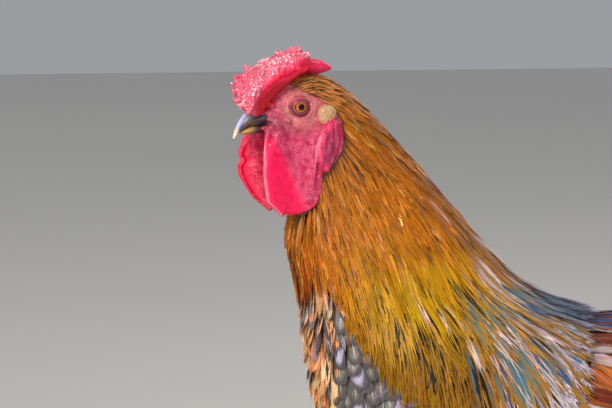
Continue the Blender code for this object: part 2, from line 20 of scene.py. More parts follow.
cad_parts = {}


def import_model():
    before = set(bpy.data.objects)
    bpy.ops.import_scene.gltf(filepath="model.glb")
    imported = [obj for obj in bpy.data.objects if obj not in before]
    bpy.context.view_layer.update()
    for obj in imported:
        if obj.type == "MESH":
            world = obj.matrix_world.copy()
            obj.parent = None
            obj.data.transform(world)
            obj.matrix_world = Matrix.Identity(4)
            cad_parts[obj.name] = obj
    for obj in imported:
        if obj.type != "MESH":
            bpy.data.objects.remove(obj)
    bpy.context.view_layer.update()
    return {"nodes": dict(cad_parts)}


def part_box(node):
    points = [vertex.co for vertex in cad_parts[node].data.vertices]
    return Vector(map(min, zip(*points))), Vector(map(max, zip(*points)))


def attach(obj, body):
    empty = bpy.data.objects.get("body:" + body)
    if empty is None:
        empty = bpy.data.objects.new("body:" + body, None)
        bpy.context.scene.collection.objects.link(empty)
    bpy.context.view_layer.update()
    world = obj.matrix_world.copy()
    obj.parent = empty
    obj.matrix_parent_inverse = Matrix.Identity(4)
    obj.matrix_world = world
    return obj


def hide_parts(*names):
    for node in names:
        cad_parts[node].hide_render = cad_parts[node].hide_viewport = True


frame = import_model()

bl_info = {
    "name": "Rooster",
    "version": (1, 0, 0),
    "blender": (4, 5, 0),
    "location": "3D View > Sidebar > Rooster",
    "description": "Skin, horn, eyes and single feathers for a standing rooster",
    "category": "Object",
}

MM = 0.001
LEFT, RIGHT = -1, 1
SIDES = ((LEFT, "left"), (RIGHT, "right"))
HEAD_TURN = math.radians(16.0)
HEAD_PIVOT_X = 35.0
EYE_LEVEL = 555.0
EYE_SIDE = 9.4
EYE_RADIUS = 7.6


def middle_of(node):
    low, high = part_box(node)
    return (np.array(low) + np.array(high)) / 2


EYES = (middle_of("eye_left") + middle_of("eye_right")) / 2
HOME = np.array((EYES[0] - HEAD_PIVOT_X * (1 - math.cos(HEAD_TURN)) * MM, 0.0, 0.0))


# ================================================================ tables, in millimetres
# The outline from the beak's root to the end of the tail coverts: the ridge's x and z, the keel's x and z, and half
# the breadth there. HEAD_TURN fades out over the stations of the neck.
OUTLINE = (
    (-21.0, 556.5, -19.5, 535.8, 7.4), (-15.5, 563.0, -13.5, 530.5, 10.6), (-8.0, 568.5, -6.5, 525.5, 13.6),
    (0.0, 572.5, 0.0, 519.0, 15.8), (13.0, 575.5, 5.0, 509.0, 17.6), (33.0, 567.5, 4.0, 496.0, 20.5),
    (56.0, 547.0, -0.5, 482.0, 28.0), (92.0, 506.0, -3.0, 459.0, 41.0), (126.0, 463.5, 1.5, 438.0, 54.0),
    (154.0, 433.0, 6.5, 415.0, 68.0), (181.0, 415.5, 9.5, 388.0, 80.0), (205.0, 408.5, 15.0, 350.0, 88.0),
    (225.0, 406.0, 28.0, 303.0, 92.0), (243.0, 406.0, 54.0, 253.0, 92.0), (260.0, 408.0, 98.0, 216.0, 87.0),
    (276.0, 412.0, 152.0, 203.0, 80.0), (290.0, 418.0, 206.0, 213.0, 67.0), (303.0, 426.5, 251.0, 250.0, 54.0),
    (315.0, 437.0, 284.0, 301.0, 41.0), (326.0, 448.0, 303.0, 346.0, 32.0), (340.0, 474.0, 338.0, 364.0, 29.0),
    (362.0, 500.0, 374.0, 396.0, 24.0), (390.0, 520.0, 408.0, 432.0, 16.5), (418.0, 531.0, 434.0, 470.0, 9.0),
    (440.0, 536.0, 450.0, 502.0, 3.0),
)
TURN_ENDS, TURN_FADES = 9, 4
ROWS_PER_STATION = 8
COLUMNS = 112

THIGH = ((121, 36, 288, 14, 11), (122, 40, 277, 35, 27), (126, 43, 262, 47, 36), (135, 44, 240, 45, 35),
         (147, 45, 212, 38, 31), (160, 46, 186, 29, 25), (172, 46, 162, 21, 18.5), (181, 46, 145, 15, 14),
         (184.5, 46, 134.5, 11.5, 11.5))

CAPE_EDGE = ((-40, 411), (-10, 411), (5, 415), (10.5, 438), (16, 455), (24.5, 437), (33.7, 416), (41.3, 405),
             (52.9, 391), (63.8, 377), (74, 366), (98, 349), (130, 334), (162, 334), (184, 355), (193, 385),
             (201, 404), (209, 436))
WING_TOP = ((44, 352), (70, 386), (112, 401), (160, 404), (208, 398), (252, 384), (288, 364), (322, 338))
WING_LOW = ((44, 344), (76, 312), (112, 291), (160, 283), (208, 283), (252, 292), (288, 305), (322, 326))

FAN_ROOT = (316.0, 396.0)
FAN_ANGLES = (22.0, 70.0)
FAN_FEATHERS = 7
FAN_LENGTH = 176.0
FAN_LEAN = math.radians(13.0)
Sickle = namedtuple("Sickle", "path root side width lean")
SICKLES = (
    Sickle(((334, 470), (366, 612), (452, 640), (484, 470)), 8.0, 14.0, 15.5, 16),
    Sickle(((338, 452), (378, 578), (440, 596), (466, 432)), 13.0, 25.5, 14.0, 20),
    Sickle(((336, 434), (376, 532), (424, 546), (446, 404)), 17.0, 37.0, 13.0, 22),
    Sickle(((342, 424), (368, 486), (406, 490), (420, 376)), 16.0, 46.0, 12.0, 22),
)

BODY_NODES = ("head", "neck", "trunk", "tail_coverts", "wing_left", "wing_right", "flights_left", "flights_right")
TOE_NAMES = ("middle", "inner", "outer", "hind")
FOOT_NODES, CLAW_NODES = (tuple(f"{toe}_{part}_{word}" for toe in TOE_NAMES for _, word in SIDES)
                          for part in ("toe", "claw"))
SPUR_NODES = ("spur_left", "spur_right")


# ================================================================ frames and curves
def world(points):
    return HOME + np.asarray(points, float) * MM


def local(points):
    return (np.asarray(points, float) - HOME) / MM


def turned(points, angle):
    """Points in millimetres turned about the upright line through the top of the neck; angle may vary by point."""
    points = np.array(points, float)
    x, y = points[..., 0] - HEAD_PIVOT_X, points[..., 1].copy()
    cos, sin = np.cos(angle), np.sin(angle)
    points[..., 0] = HEAD_PIVOT_X + x * cos - y * sin
    points[..., 1] = x * sin + y * cos
    return points


def turned_way(ways, angle):
    """Directions turned as points are."""
    pivot = (HEAD_PIVOT_X, 0, 0)
    return turned(np.add(ways, pivot), angle) - pivot


def spline(rows, per_span):
    rows = np.array(rows, float)
    padded = np.vstack([2 * rows[0] - rows[1], rows, 2 * rows[-1] - rows[-2]])
    dense = []
    for i in range(len(rows) - 1):
        a, b, c, d = padded[i:i + 4]
        for t in np.arange(per_span) / per_span:
            dense.append(0.5 * (2 * b + (c - a) * t + (2 * a - 5 * b + 4 * c - d) * t**2
                                + (3 * b - a - 3 * c + d) * t**3))
    dense.append(rows[-1])
    return np.array(dense)


def height_on(curve, x):
    curve = spline(curve, 6)
    return np.interp(x, curve[:, 0], curve[:, 1])


def smooth(value, low, high):
    t = np.clip((np.asarray(value, float) - low) / (high - low), 0, 1)
    return t * t * (3 - 2 * t)


def unit(vectors):
    return vectors / np.maximum(np.linalg.norm(vectors, axis=-1, keepdims=True), 1e-12)


def blend(first, second, share):
    share = np.asarray(share)[..., None]
    return np.asarray(first, float) * (1 - share) + np.asarray(second, float) * share


def painted(colour, *coats):
    """Colours under further coats of paint, each a colour and how much of it covers."""
    for over, share in coats:
        colour = blend(colour, over, share)
    return colour


def paler(share, *colours):
    """Colours spaced evenly over 0 to 1."""
    table = np.array(colours, float)
    return np.stack([np.interp(share, np.linspace(0, 1, len(table)), column) for column in table.T], -1)


def grid_quads(rows, columns, wraps=False):
    """The faces of a grid of points that are numbered row by row."""
    ends = [(c, (c + 1) % columns) for c in range(columns if wraps else columns - 1)]
    return [(r * columns + a, r * columns + b, (r + 1) * columns + b, (r + 1) * columns + a)
            for r in range(rows - 1) for a, b in ends]


def bezier(path, t):
    a, b, c, d = (np.array(p, float) for p in path)
    t = np.asarray(t)[..., None]
    return a * (1 - t) ** 3 + 3 * b * t * (1 - t) ** 2 + 3 * c * t**2 * (1 - t) + d * t**3


# ================================================================ solid noise
def scatter(cells, seed):
    """Three repeatable random numbers for each whole-number cell."""
    n = (cells[..., 0] * 73856093 ^ cells[..., 1] * 19349663 ^ cells[..., 2] * 83492791) + seed * 2654435761
    out = []
    for k in range(3):
        m = (n + k * 374761393) & 0xFFFFFFFF
        m = ((m ^ (m >> 15)) * 2246822519) & 0xFFFFFFFF
        m = ((m ^ (m >> 13)) * 3266489917) & 0xFFFFFFFF
        out.append(((m ^ (m >> 16)) & 0xFFFFFF) / 0xFFFFFF)
    return np.stack(out, -1)


NEIGHBOURS = tuple(product((-1, 0, 1), repeat=3))


def pebbles(points, size, seed=0):
    """1 at the middle of each rounded cell of about that size, falling to 0 at the creases between cells."""
    p = np.asarray(points) / size
    base = np.floor(p).astype(np.int64)
    nearest, second = np.full((2, len(p)), 9.0)
    for step in NEIGHBOURS:
        cell = base + step
        d = np.linalg.norm(cell + 0.15 + 0.7 * scatter(cell, seed) - p, axis=1)
        second = np.minimum(second, np.maximum(d, nearest))
        nearest = np.minimum(nearest, d)
    return smooth(second - nearest, 0.0, 0.55)


def cloud(points, size, seed=0):
    """Smooth noise from -1 to 1."""
    p = np.asarray(points) / size
    base = np.floor(p).astype(np.int64)
    f = p - base
    f = f * f * (3 - 2 * f)
    total = np.zeros(len(p))
    for corner in product((0, 1), repeat=3):
        x, y, z = (f[:, k] if far else 1 - f[:, k] for k, far in enumerate(corner))
        total += x * y * z * scatter(base + corner, seed)[:, 0]
    return total * 2 - 1


# ================================================================ shaders
class Wire:
    """A socket that Python's operators join up with Math nodes."""

    def __init__(self, graph, socket):
        self.graph, self.socket = graph, socket

    def math(self, operation, *others, swap=False):
        values = (others[0], self) if swap else (self, *others)
        return self.graph.node("ShaderNodeMath", {"operation": operation}, dict(enumerate(values)))

    def __add__(self, other):
        return self.math("ADD", other)

    def __sub__(self, other):
        return self.math("SUBTRACT", other)

    def __rsub__(self, other):
        return self.math("SUBTRACT", other, swap=True)

    def __mul__(self, other):
        return self.math("MULTIPLY", other)

    def __pow__(self, other):
        return self.math("POWER", other)

    def __abs__(self):
        return self.math("ABSOLUTE")

    __radd__, __rmul__ = __add__, __mul__


class Graph:
    """A material's nodes, made by one method, with short names for those used most."""

    def __init__(self, name):
        self.material = bpy.data.materials.new(name)
        self.material.use_nodes = True
        self.tree = self.material.node_tree

    def node(self, kind, settings=None, inputs=None, output=0):
        made = self.tree.nodes.new(kind)
        for key, value in (settings or {}).items():
            setattr(made, key, value)
        for key, value in (inputs or {}).items():
            self.put(made.inputs[key], value)
        return Wire(self, made.outputs[output])

    def put(self, socket, value):
        if isinstance(value, Wire):
            self.tree.links.new(value.socket, socket)
        elif socket.type == "RGBA":
            socket.default_value = (*value, 1.0)
        else:
            socket.default_value = value

    def attribute(self, name, output="Color"):
        return self.node("ShaderNodeAttribute", {"attribute_name": name}, output=output)

    def parts(self, vector):
        split = self.node("ShaderNodeSeparateXYZ", inputs={0: vector})
        return [Wire(self, socket) for socket in split.socket.node.outputs]

    def join(self, *parts):
        return self.node("ShaderNodeCombineXYZ", inputs=dict(enumerate(parts)))

    def place(self):
        return self.node("ShaderNodeTexCoord", output="Object")

    def noise(self, vector, scale, detail=2.0, roughness=0.5):
        return self.node("ShaderNodeTexNoise", inputs={"Vector": vector, "Scale": scale, "Detail": detail,
                                                       "Roughness": roughness})

    def cells(self, vector, scale, feature="F1"):
        return self.node("ShaderNodeTexVoronoi", {"feature": feature}, {"Vector": vector, "Scale": scale})

    def step(self, value, low, high):
        return self.node("ShaderNodeMapRange", {"interpolation_type": "SMOOTHSTEP"}, {0: value, 1: low, 2: high})

    def mix(self, share, first, second):
        return self.node("ShaderNodeMix", {"data_type": "RGBA"}, {0: share, 6: first, 7: second}, output=2)

    def grey(self, colour):
        return self.node("ShaderNodeRGBToBW", inputs={0: colour})

    def vector(self, operation, inputs):
        return self.node("ShaderNodeVectorMath", {"operation": operation}, inputs)

    def scaled(self, colour, amount):
        return self.vector("SCALE", {0: colour, "Scale": amount})

    def bump(self, height, strength, distance):
        return self.node("ShaderNodeBump", inputs={"Height": height, "Strength": strength, "Distance": distance})

    def finish(self, **sockets):
        shader = self.tree.nodes["Principled BSDF"]
        for name, value in sockets.items():
            self.put(shader.inputs[name.replace("_", " ")], value)
        return self.material


# ================================================================ meshes
def deselect():
    for piece in bpy.context.selected_objects:
        piece.select_set(False)


def activate(piece):
    deselect()
    piece.select_set(True)
    bpy.context.view_layer.objects.active = piece


def new_object(name, mesh):
    piece = bpy.data.objects.new(name, mesh)
    bpy.context.scene.collection.objects.link(piece)
    return piece


def read_vectors(items, key):
    flat = np.empty(len(items) * 3, np.float32)
    items.foreach_get(key, flat)
    return flat.reshape(-1, 3).astype(float)


def positions(mesh):
    return read_vectors(mesh.vertices, "co")


def normals(mesh):
    return read_vectors(mesh.vertex_normals, "vector")


def put_positions(mesh, points):
    mesh.vertices.foreach_set("co", np.asarray(points, np.float32).ravel())
    mesh.update()


def head_points(mesh):
    """A mesh's points in millimetres, with the turn of the head taken out."""
    return turned(local(positions(mesh)), -HEAD_TURN)


def head_normals(mesh):
    return unit(turned_way(normals(mesh), -HEAD_TURN))


def put_head_points(mesh, points):
    put_positions(mesh, world(turned(points, HEAD_TURN)))


@contextmanager
def edited(mesh):
    """A bmesh of a mesh, written back to it at the end."""
    shape = bmesh.new()
    shape.from_mesh(mesh)
    yield shape
    shape.to_mesh(mesh)
    shape.free()


def finish_mesh(mesh, material):
    mesh.materials.append(material)
    mesh.shade_smooth()


def apply_modifier(piece, kind, **settings):
    activate(piece)
    step = piece.modifiers.new(kind.title(), kind)
    for key, value in settings.items():
        setattr(step, key, value)
    bpy.ops.object.modifier_apply(modifier=step.name)


def copy_nodes(name, nodes, swell=0.0):
    """One object of whole copies of CAD nodes, swollen by some millimetres."""
    shape = bmesh.new()
    for node in nodes:
        shape.from_mesh(frame["nodes"][node].data)
    bmesh.ops.remove_doubles(shape, verts=shape.verts, dist=1e-6)
    mesh = bpy.data.meshes.new(name)
    shape.to_mesh(mesh)
    shape.free()
    if swell:
        put_positions(mesh, positions(mesh) + normals(mesh) * swell * MM)
    return new_object(name, mesh)


def merge_objects(pieces):
    activate(pieces[0])
    for piece in pieces:
        piece.select_set(True)
    bpy.ops.object.join()
    return pieces[0]


def remesh(piece, size, soften):
    apply_modifier(piece, "REMESH", mode="VOXEL", voxel_size=size * MM, use_smooth_shade=True)
    apply_modifier(piece, "SMOOTH", iterations=soften, factor=0.5)


def cut_away(piece, at, normal, close=False):
    """Keeps what lies behind a plane and may close the cut; at is a place in metres."""
    with edited(piece.data) as shape:
        geometry = shape.verts[:] + shape.edges[:] + shape.faces[:]
        cut = bmesh.ops.bisect_plane(shape, geom=geometry, plane_co=at, plane_no=normal, clear_outer=True)
        if close:
            bmesh.ops.holes_fill(shape, edges=[e for e in cut["geom_cut"] if isinstance(e, bmesh.types.BMEdge)])


def cut_level(piece, z, way, close=False):
    """Cuts level at a height in millimetres: way is 1 to cut off what is above it and -1 what is below."""
    cut_away(piece, Vector(world((0, 0, z))), Vector((0, 0, way)), close)


def tree_of(nodes):
    """A search tree over some CAD nodes, and the number of the node that each face belongs to."""
    points, faces, owner = [], [], []
    for number, node in enumerate(nodes):
        mesh = frame["nodes"][node].data
        start = len(points)
        points += [v.co.copy() for v in mesh.vertices]
        faces += [[start + i for i in p.vertices] for p in mesh.polygons]
        owner += [number] * len(mesh.polygons)
    return BVHTree.FromPolygons(points, faces), owner


def cast(tree, start, way, reach):
    """Where a ray from a place in millimetres first meets a tree, and the normal there; reach is in metres."""
    hit, normal, _, _ = tree.ray_cast(Vector(world(start)), Vector(way), reach)
    return (None, None) if hit is None else (local(np.array(hit)), normal)


def colour_attribute(mesh, name, values):
    layer = mesh.attributes.new(name, "FLOAT_COLOR", "POINT")
    full = np.ones((len(mesh.vertices), 4), np.float32)
    values = np.asarray(values)
    full[:, :values.shape[-1]] = values
    layer.data.foreach_set("color", full.ravel())


# ================================================================ lays: grids that feathers follow
class Lay:
    """Points over part of the bird. Rows run with the lie of the feathers and columns run across it."""

    def __init__(self, points, wraps, patch):
        self.points, self.wraps, self.patch = points, wraps, patch
        self.rows, self.columns = points.shape[:2]
        self.down = np.gradient(points, axis=0)
        self.ahead = (np.roll(points, -1, 1) - np.roll(points, 1, 1)) / 2 if wraps else np.gradient(points, axis=1)
        facing = np.cross(self.ahead, self.down)
        if wraps:
            outward = points - points.mean(1, keepdims=True)
            facing *= np.sign((facing * outward).sum(-1, keepdims=True).mean(1, keepdims=True))
        self.facing = unit(facing)
        self.along, self.across = (np.linalg.norm(step, axis=-1) for step in (self.down, self.ahead))

    def read(self, table, i, j):
        """A table's values between its rows and columns."""
        i = np.clip(i, 0, self.rows - 1.001)
        j = np.mod(j, self.columns) if self.wraps else np.clip(j, 0, self.columns - 1.001)
        i0, j0 = np.floor(i).astype(int), np.floor(j).astype(int)
        fi, fj = i - i0, j - j0
        j0 = np.minimum(j0, self.columns - 1)
        j1 = (j0 + 1) % self.columns
        if table.ndim == 3:
            fi, fj = fi[..., None], fj[..., None]
        return (table[i0, j0] * (1 - fi) * (1 - fj) + table[i0 + 1, j0] * fi * (1 - fj)
                + table[i0, j1] * (1 - fi) * fj + table[i0 + 1, j1] * fi * fj)

    def place(self, i, j):
        return local(self.read(self.points, i, j))

    def trace(self, i, j, length, heading, stations):
        """Paths over the surface from (i, j): points and outward directions at shares of the length."""
        i, j = i.astype(float).copy(), j.astype(float).copy()
        spare = np.zeros(len(i))
        points, facing = [], []
        for share, last in zip(stations, (0.0, *stations)):
            for _ in range(2):
                step = (share - last) / 2 * length
                i += np.cos(heading) * step / self.read(self.along, i, j)
                j += np.sin(heading) * step / self.read(self.across, i, j)
                over = np.maximum(i - (self.rows - 1.001), 0)
                spare += over * self.read(self.along, i, j)
                i -= over
            way = unit(self.read(self.down, i, j))
            points.append(self.read(self.points, i, j) + way * spare[:, None])
            facing.append(unit(self.read(self.facing, i, j)))
        return np.stack(points, 1), np.stack(facing, 1)

    def roots(self, gap, seed, keep):
        """Evenly scattered places that keep(i, j) allows, at least gap(i) millimetres apart."""
        rng = np.random.default_rng(seed)
        area = (self.along * self.across)[:-1, :None if self.wraps else -1]
        ii, jj = (axis.ravel() for axis in np.meshgrid(*map(np.arange, area.shape), indexing="ij"))
        density = area / (gap(ii + 0.5).reshape(area.shape) * MM) ** 2
        count = int(density.sum() * 5)
        pick = rng.choice(density.size, count, p=(density / density.sum()).ravel())
        i, j = ii[pick] + rng.random(count), jj[pick] + rng.random(count)
        chosen = keep(i, j)
        i, j = i[chosen], j[chosen]
        return self.thin(i, j, gap(i) * MM)

    def thin(self, i, j, gap):
        points = self.read(self.points, i, j)
        boxes, kept = {}, []
        keys = np.floor(points / gap.max()).astype(int)
        for n, (x, y, z) in enumerate(keys.tolist()):
            near = [m for a, b, c in NEIGHBOURS for m in boxes.get((x + a, y + b, z + c), ())]
            if near:
                d = points[near] - points[n]
                if ((d * d).sum(1) < gap[n] ** 2).any():
                    continue
            boxes.setdefault((x, y, z), []).append(n)
            kept.append(n)
        return i[kept], j[kept]

    def bake_place(self, i, j):
        u0, v0, u1, v1 = self.patch
        return np.stack([u0 + (u1 - u0) * np.mod(j, self.columns) / self.columns,
                         v0 + (v1 - v0) * i / self.rows], -1)


def blurred(grid, passes, wraps):
    for _ in range(passes):
        side = np.roll(grid, 1, 1) + np.roll(grid, -1, 1) if wraps else 2 * grid
        ends = np.vstack([grid[:1], grid[:-1]]) + np.vstack([grid[1:], grid[-1:]])
        grid = (2 * grid + side + ends) / 6
    return grid


def station_of(i):
    return i / ROWS_PER_STATION


def turn_at(i):
    """How far the body's lay is turned at its row i."""
    share = np.clip((TURN_ENDS - station_of(i)) / TURN_FADES, 0, 1)
    return HEAD_TURN * share * share * (3 - 2 * share)


@cache
def body_lay():
    rows = spline(OUTLINE, ROWS_PER_STATION)
    angle = turn_at(np.arange(len(rows)))
    theta = np.arange(COLUMNS) / COLUMNS * 2 * math.pi
    ridge, keel, width = rows[:, 0:2], rows[:, 2:4], rows[:, 4]
    middle, reach = (ridge + keel) / 2, (ridge - keel) / 2
    ring = np.zeros((len(rows), COLUMNS, 3))
    ring[:, :, 0] = middle[:, :1] + reach[:, :1] * np.cos(theta)
    ring[:, :, 2] = middle[:, 1:] + reach[:, 1:] * np.cos(theta)
    ring[:, :, 1] = width[:, None] * np.sin(theta) * (1 - 0.1 * np.cos(theta))
    ring = turned(ring, angle[:, None])
    core = turned(np.stack([middle[:, 0], 0 * angle, middle[:, 1]], 1), angle)
    tree, _ = tree_of(BODY_NODES)
    away = unit(ring - core[:, None])
    reach = np.linalg.norm(ring - core[:, None], axis=-1)
    for i, j in np.ndindex(reach.shape):
        hit, _ = cast(tree, core[i] + away[i, j] * (reach[i, j] + 30), -away[i, j], 0.05)
        if hit is not None:
            reach[i, j] = np.dot(hit - core[i], away[i, j])
    reach = blurred(reach, 5, True)
    return Lay(world(core[:, None] + away * reach[..., None]), True, (0.01, 0.01, 0.71, 0.99))


THIGH_COLUMNS = 40
WING_FROM, WING_TO, WING_ROWS, WING_COLUMNS = 46, 318, 60, 24


@cache
def thigh_lay(side):
    x, y, z, long, wide = spline(THIGH, 6).T[:, :, None]
    theta = np.arange(THIGH_COLUMNS) / THIGH_COLUMNS * 2 * math.pi
    ring = np.stack(np.broadcast_arrays(x + long * np.cos(theta), side * y + wide * np.sin(theta), z), -1)
    low = 0.01 if side == LEFT else 0.26
    return Lay(world(ring), True, (0.73, low, 0.99, low + 0.23))


@cache
def wing_lay(side):
    """Over a folded wing, from its bend back to its tip, between its upper and its lower edge."""
    along = np.linspace(WING_FROM, WING_TO, WING_ROWS)
    top, low = height_on(WING_TOP, along), height_on(WING_LOW, along)
    tree, _ = tree_of(BODY_NODES)
    grid = np.zeros((WING_ROWS, WING_COLUMNS, 3))
    for n, share in enumerate(np.linspace(0, 1, WING_COLUMNS)):
        z = top + (low - top) * share
        hits = [cast(tree, (a, side * 160, b), (0, -side, 0), 0.16)[0] for a, b in zip(along, z)]
        y = [side * 60 if hit is None else hit[1] for hit in hits]
        grid[:, n] = np.stack([along, y, z], 1)
    grid[:, :, 1] = side * blurred(np.abs(grid[:, :, 1]), 4, False)
    low = 0.51 if side == LEFT else 0.76
    lay = Lay(world(grid), False, (0.73, low, 0.99, low + 0.23))
    lay.facing *= np.sign(side * lay.facing[..., 1:2].mean())
    return lay


# ================================================================ feathers
VANES = {
    "hackle": ((0, .08, .25, .45, .65, .8, .9, .96, 1), (.34, .6, .9, 1, .9, .66, .42, .22, .05)),
    "body": ((0, .15, .35, .55, .72, .84, .92, .97, 1), (.3, .62, .88, 1, .98, .86, .66, .42, .12)),
    "downy": ((0, .15, .35, .55, .72, .84, .92, .97, 1), (.4, .8, 1, 1, .92, .78, .6, .42, .2)),
    "sickle": ((0, .06, .2, .4, .6, .76, .88, .96, 1), (.4, .75, .95, 1, .95, .8, .55, .26, .04)),
    "flight": ((0, .06, .2, .4, .6, .78, .9, .97, 1), (.25, .7, .95, 1, 1, .94, .76, .46, .12)),
}


class Coat:
    """Feathers gathered until they become joined meshes with their markings as attributes."""

    def __init__(self):
        self.points, self.quads, self.triangles = [], [], []
        self.data = {key: [] for key in ("ground", "mark", "form", "vane", "bake")}
        self.count = 0

    def add(self, points, quads, triangles, **data):
        """points is (feathers, points each, 3); the faces are those of one feather."""
        feathers, each = points.shape[:2]
        start = self.count + np.arange(feathers)[:, None, None] * each
        self.points.append(points.reshape(-1, 3))
        for store, faces in ((self.quads, np.array(quads)), (self.triangles, np.array(triangles))):
            if len(faces):
                store.append((start + faces[None]).reshape(-1, faces.shape[1]))
        for key, values in data.items():
            self.data[key].append(values.reshape(feathers * each, -1))
        self.count += feathers * each

    def face_count(self):
        return 2 * sum(len(q) for q in self.quads) + sum(len(t) for t in self.triangles)

    def build(self, name, material):
        quads = np.vstack(self.quads)
        triangles = np.vstack(self.triangles) if self.triangles else np.zeros((0, 3), int)
        corners = np.concatenate([quads.ravel(), triangles.ravel()]).astype(np.int32)
        starts = np.concatenate([np.arange(len(quads)) * 4, len(quads) * 4 + np.arange(len(triangles)) * 3])
        mesh = bpy.data.meshes.new(name)
        mesh.vertices.add(self.count)
        mesh.vertices.foreach_set("co", np.vstack(self.points).astype(np.float32).ravel())
        mesh.loops.add(len(corners))
        mesh.loops.foreach_set("vertex_index", corners)
        mesh.polygons.add(len(starts))
        mesh.polygons.foreach_set("loop_start", starts.astype(np.int32))
        mesh.update(calc_edges=True)
        for key in ("ground", "mark", "form"):
            colour_attribute(mesh, key, np.vstack(self.data[key]))
        for key, layer in (("vane", "vane"), ("bake", "OFBake")):
            uv = np.vstack(self.data[key])[corners].astype(np.float32)
            mesh.uv_layers.new(name=layer).data.foreach_set("uv", uv.ravel())
        mesh.uv_layers["OFBake"].active_render = True
        finish_mesh(mesh, material)
        return new_object(name, mesh)


Plan = namedtuple("Plan", "vane rows columns camber chevron barbs barb_from barb_reach barb_width")
# Each plan: its outline, the rows and columns of faces in its web, its bow, its slant and its barbs on each side.
HACKLE = Plan("hackle", 8, 2, 0.16, 0.9, 12, 0.04, 0.50, 0.10)
LONG_HACKLE = Plan("hackle", 8, 4, 0.14, 0.9, 6, 0.25, 0.36, 0.08)
SADDLE = Plan("hackle", 9, 2, 0.16, 0.9, 12, 0.04, 0.46, 0.11)
NAPE = Plan("hackle", 4, 2, 0.2, 0.6, 4, 0.15, 0.5, 0.17)
STREAK = Plan("body", 7, 4, 0.25, 0.7, 9, 0.15, 0.42, 0.10)
SCALE = Plan("body", 8, 6, 0.07, 0.5, 0, 0, 0, 0)
BREAST = Plan("body", 7, 6, 0.06, 0.5, 9, 0.42, 0.30, 0.085)
BOW = Plan("body", 6, 4, 0.08, 0.7, 8, 0.30, 0.36, 0.09)
DOWNY = Plan("downy", 6, 4, 0.2, 0.6, 9, 0.12, 0.46, 0.10)
QUILL = Plan("flight", 22, 8, 0.12, 0.7, 0, 0, 0, 0)
TAIL_QUILL = Plan("flight", 34, 10, 0.10, 0.55, 0, 0, 0, 0)
SICKLE_QUILL = Plan("sickle", 44, 10, 0.22, 0.9, 0, 0, 0, 0)
BRISTLE = Plan("hackle", 3, 1, 0.1, 0.1, 0, 0, 0, 0)


# The two faces of a loose barb, by its five corners.
BARB_FACES = ((0, 1, 3, 2), (2, 3, 4))
# How much of a feather's width its web takes when it has barbs, and how far its rows crowd towards the tip.
WEB_SHARE = 0.84
TIP_CROWDING = 1.35


def row_shares(plan):
    t = np.linspace(0, 1, plan.rows + 1)
    return 1 - (1 - t) ** TIP_CROWDING


def lift_paths(points, facing, s, depth, lift):
    """Raises traced paths from the root, some depth under the surface, to the tip at some lift above it."""
    height = -depth[:, None] * (1 - s) ** 1.4 + lift[:, None] * s**1.5
    points = points + facing * height[..., None] * MM
    way = unit(np.gradient(points, axis=1))
    side = unit(np.cross(facing, way))
    return points, side, unit(np.cross(way, side))


def lay_feathers(coat, plan, paths, stations, width, looks, rng, roll):
    """Adds a web and loose barbs along each path. paths is (points, side, up) from lift_paths, and looks the ground,
    mark, form and place on the unwrap of each feather."""
    points, side, up = paths
    count = len(points)
    tilt = rng.normal(0, roll, count)[:, None, None]
    side, up = side * np.cos(tilt) + up * np.sin(tilt), up * np.cos(tilt) - side * np.sin(tilt)
    w = np.interp(stations, *VANES[plan.vane])
    t = np.linspace(-1, 1, plan.columns + 1)
    half = width[:, None, None] * MM * w[None, :, None]
    if plan.barbs:
        half = half * WEB_SHARE
    off = t[None, None, :] * half
    way = unit(np.gradient(points, axis=1))
    web = (points[:, :, None] + side[:, :, None] * off[..., None]
           - up[:, :, None] * (plan.camber * np.abs(t) ** 1.6 * half)[..., None]
           + way[:, :, None] * (plan.chevron * np.abs(t) * half)[..., None])
    rows, columns = len(stations), len(t)
    across = np.broadcast_to(t, (count, rows, columns)).reshape(count, -1)
    along = np.broadcast_to(stations[:, None], (count, rows, columns)).reshape(count, -1)
    send(coat, web.reshape(count, -1, 3), grid_quads(rows, columns), [], across, along, looks)
    if plan.barbs:
        lay_barbs(coat, plan, points, side, up, stations, width, looks, rng)


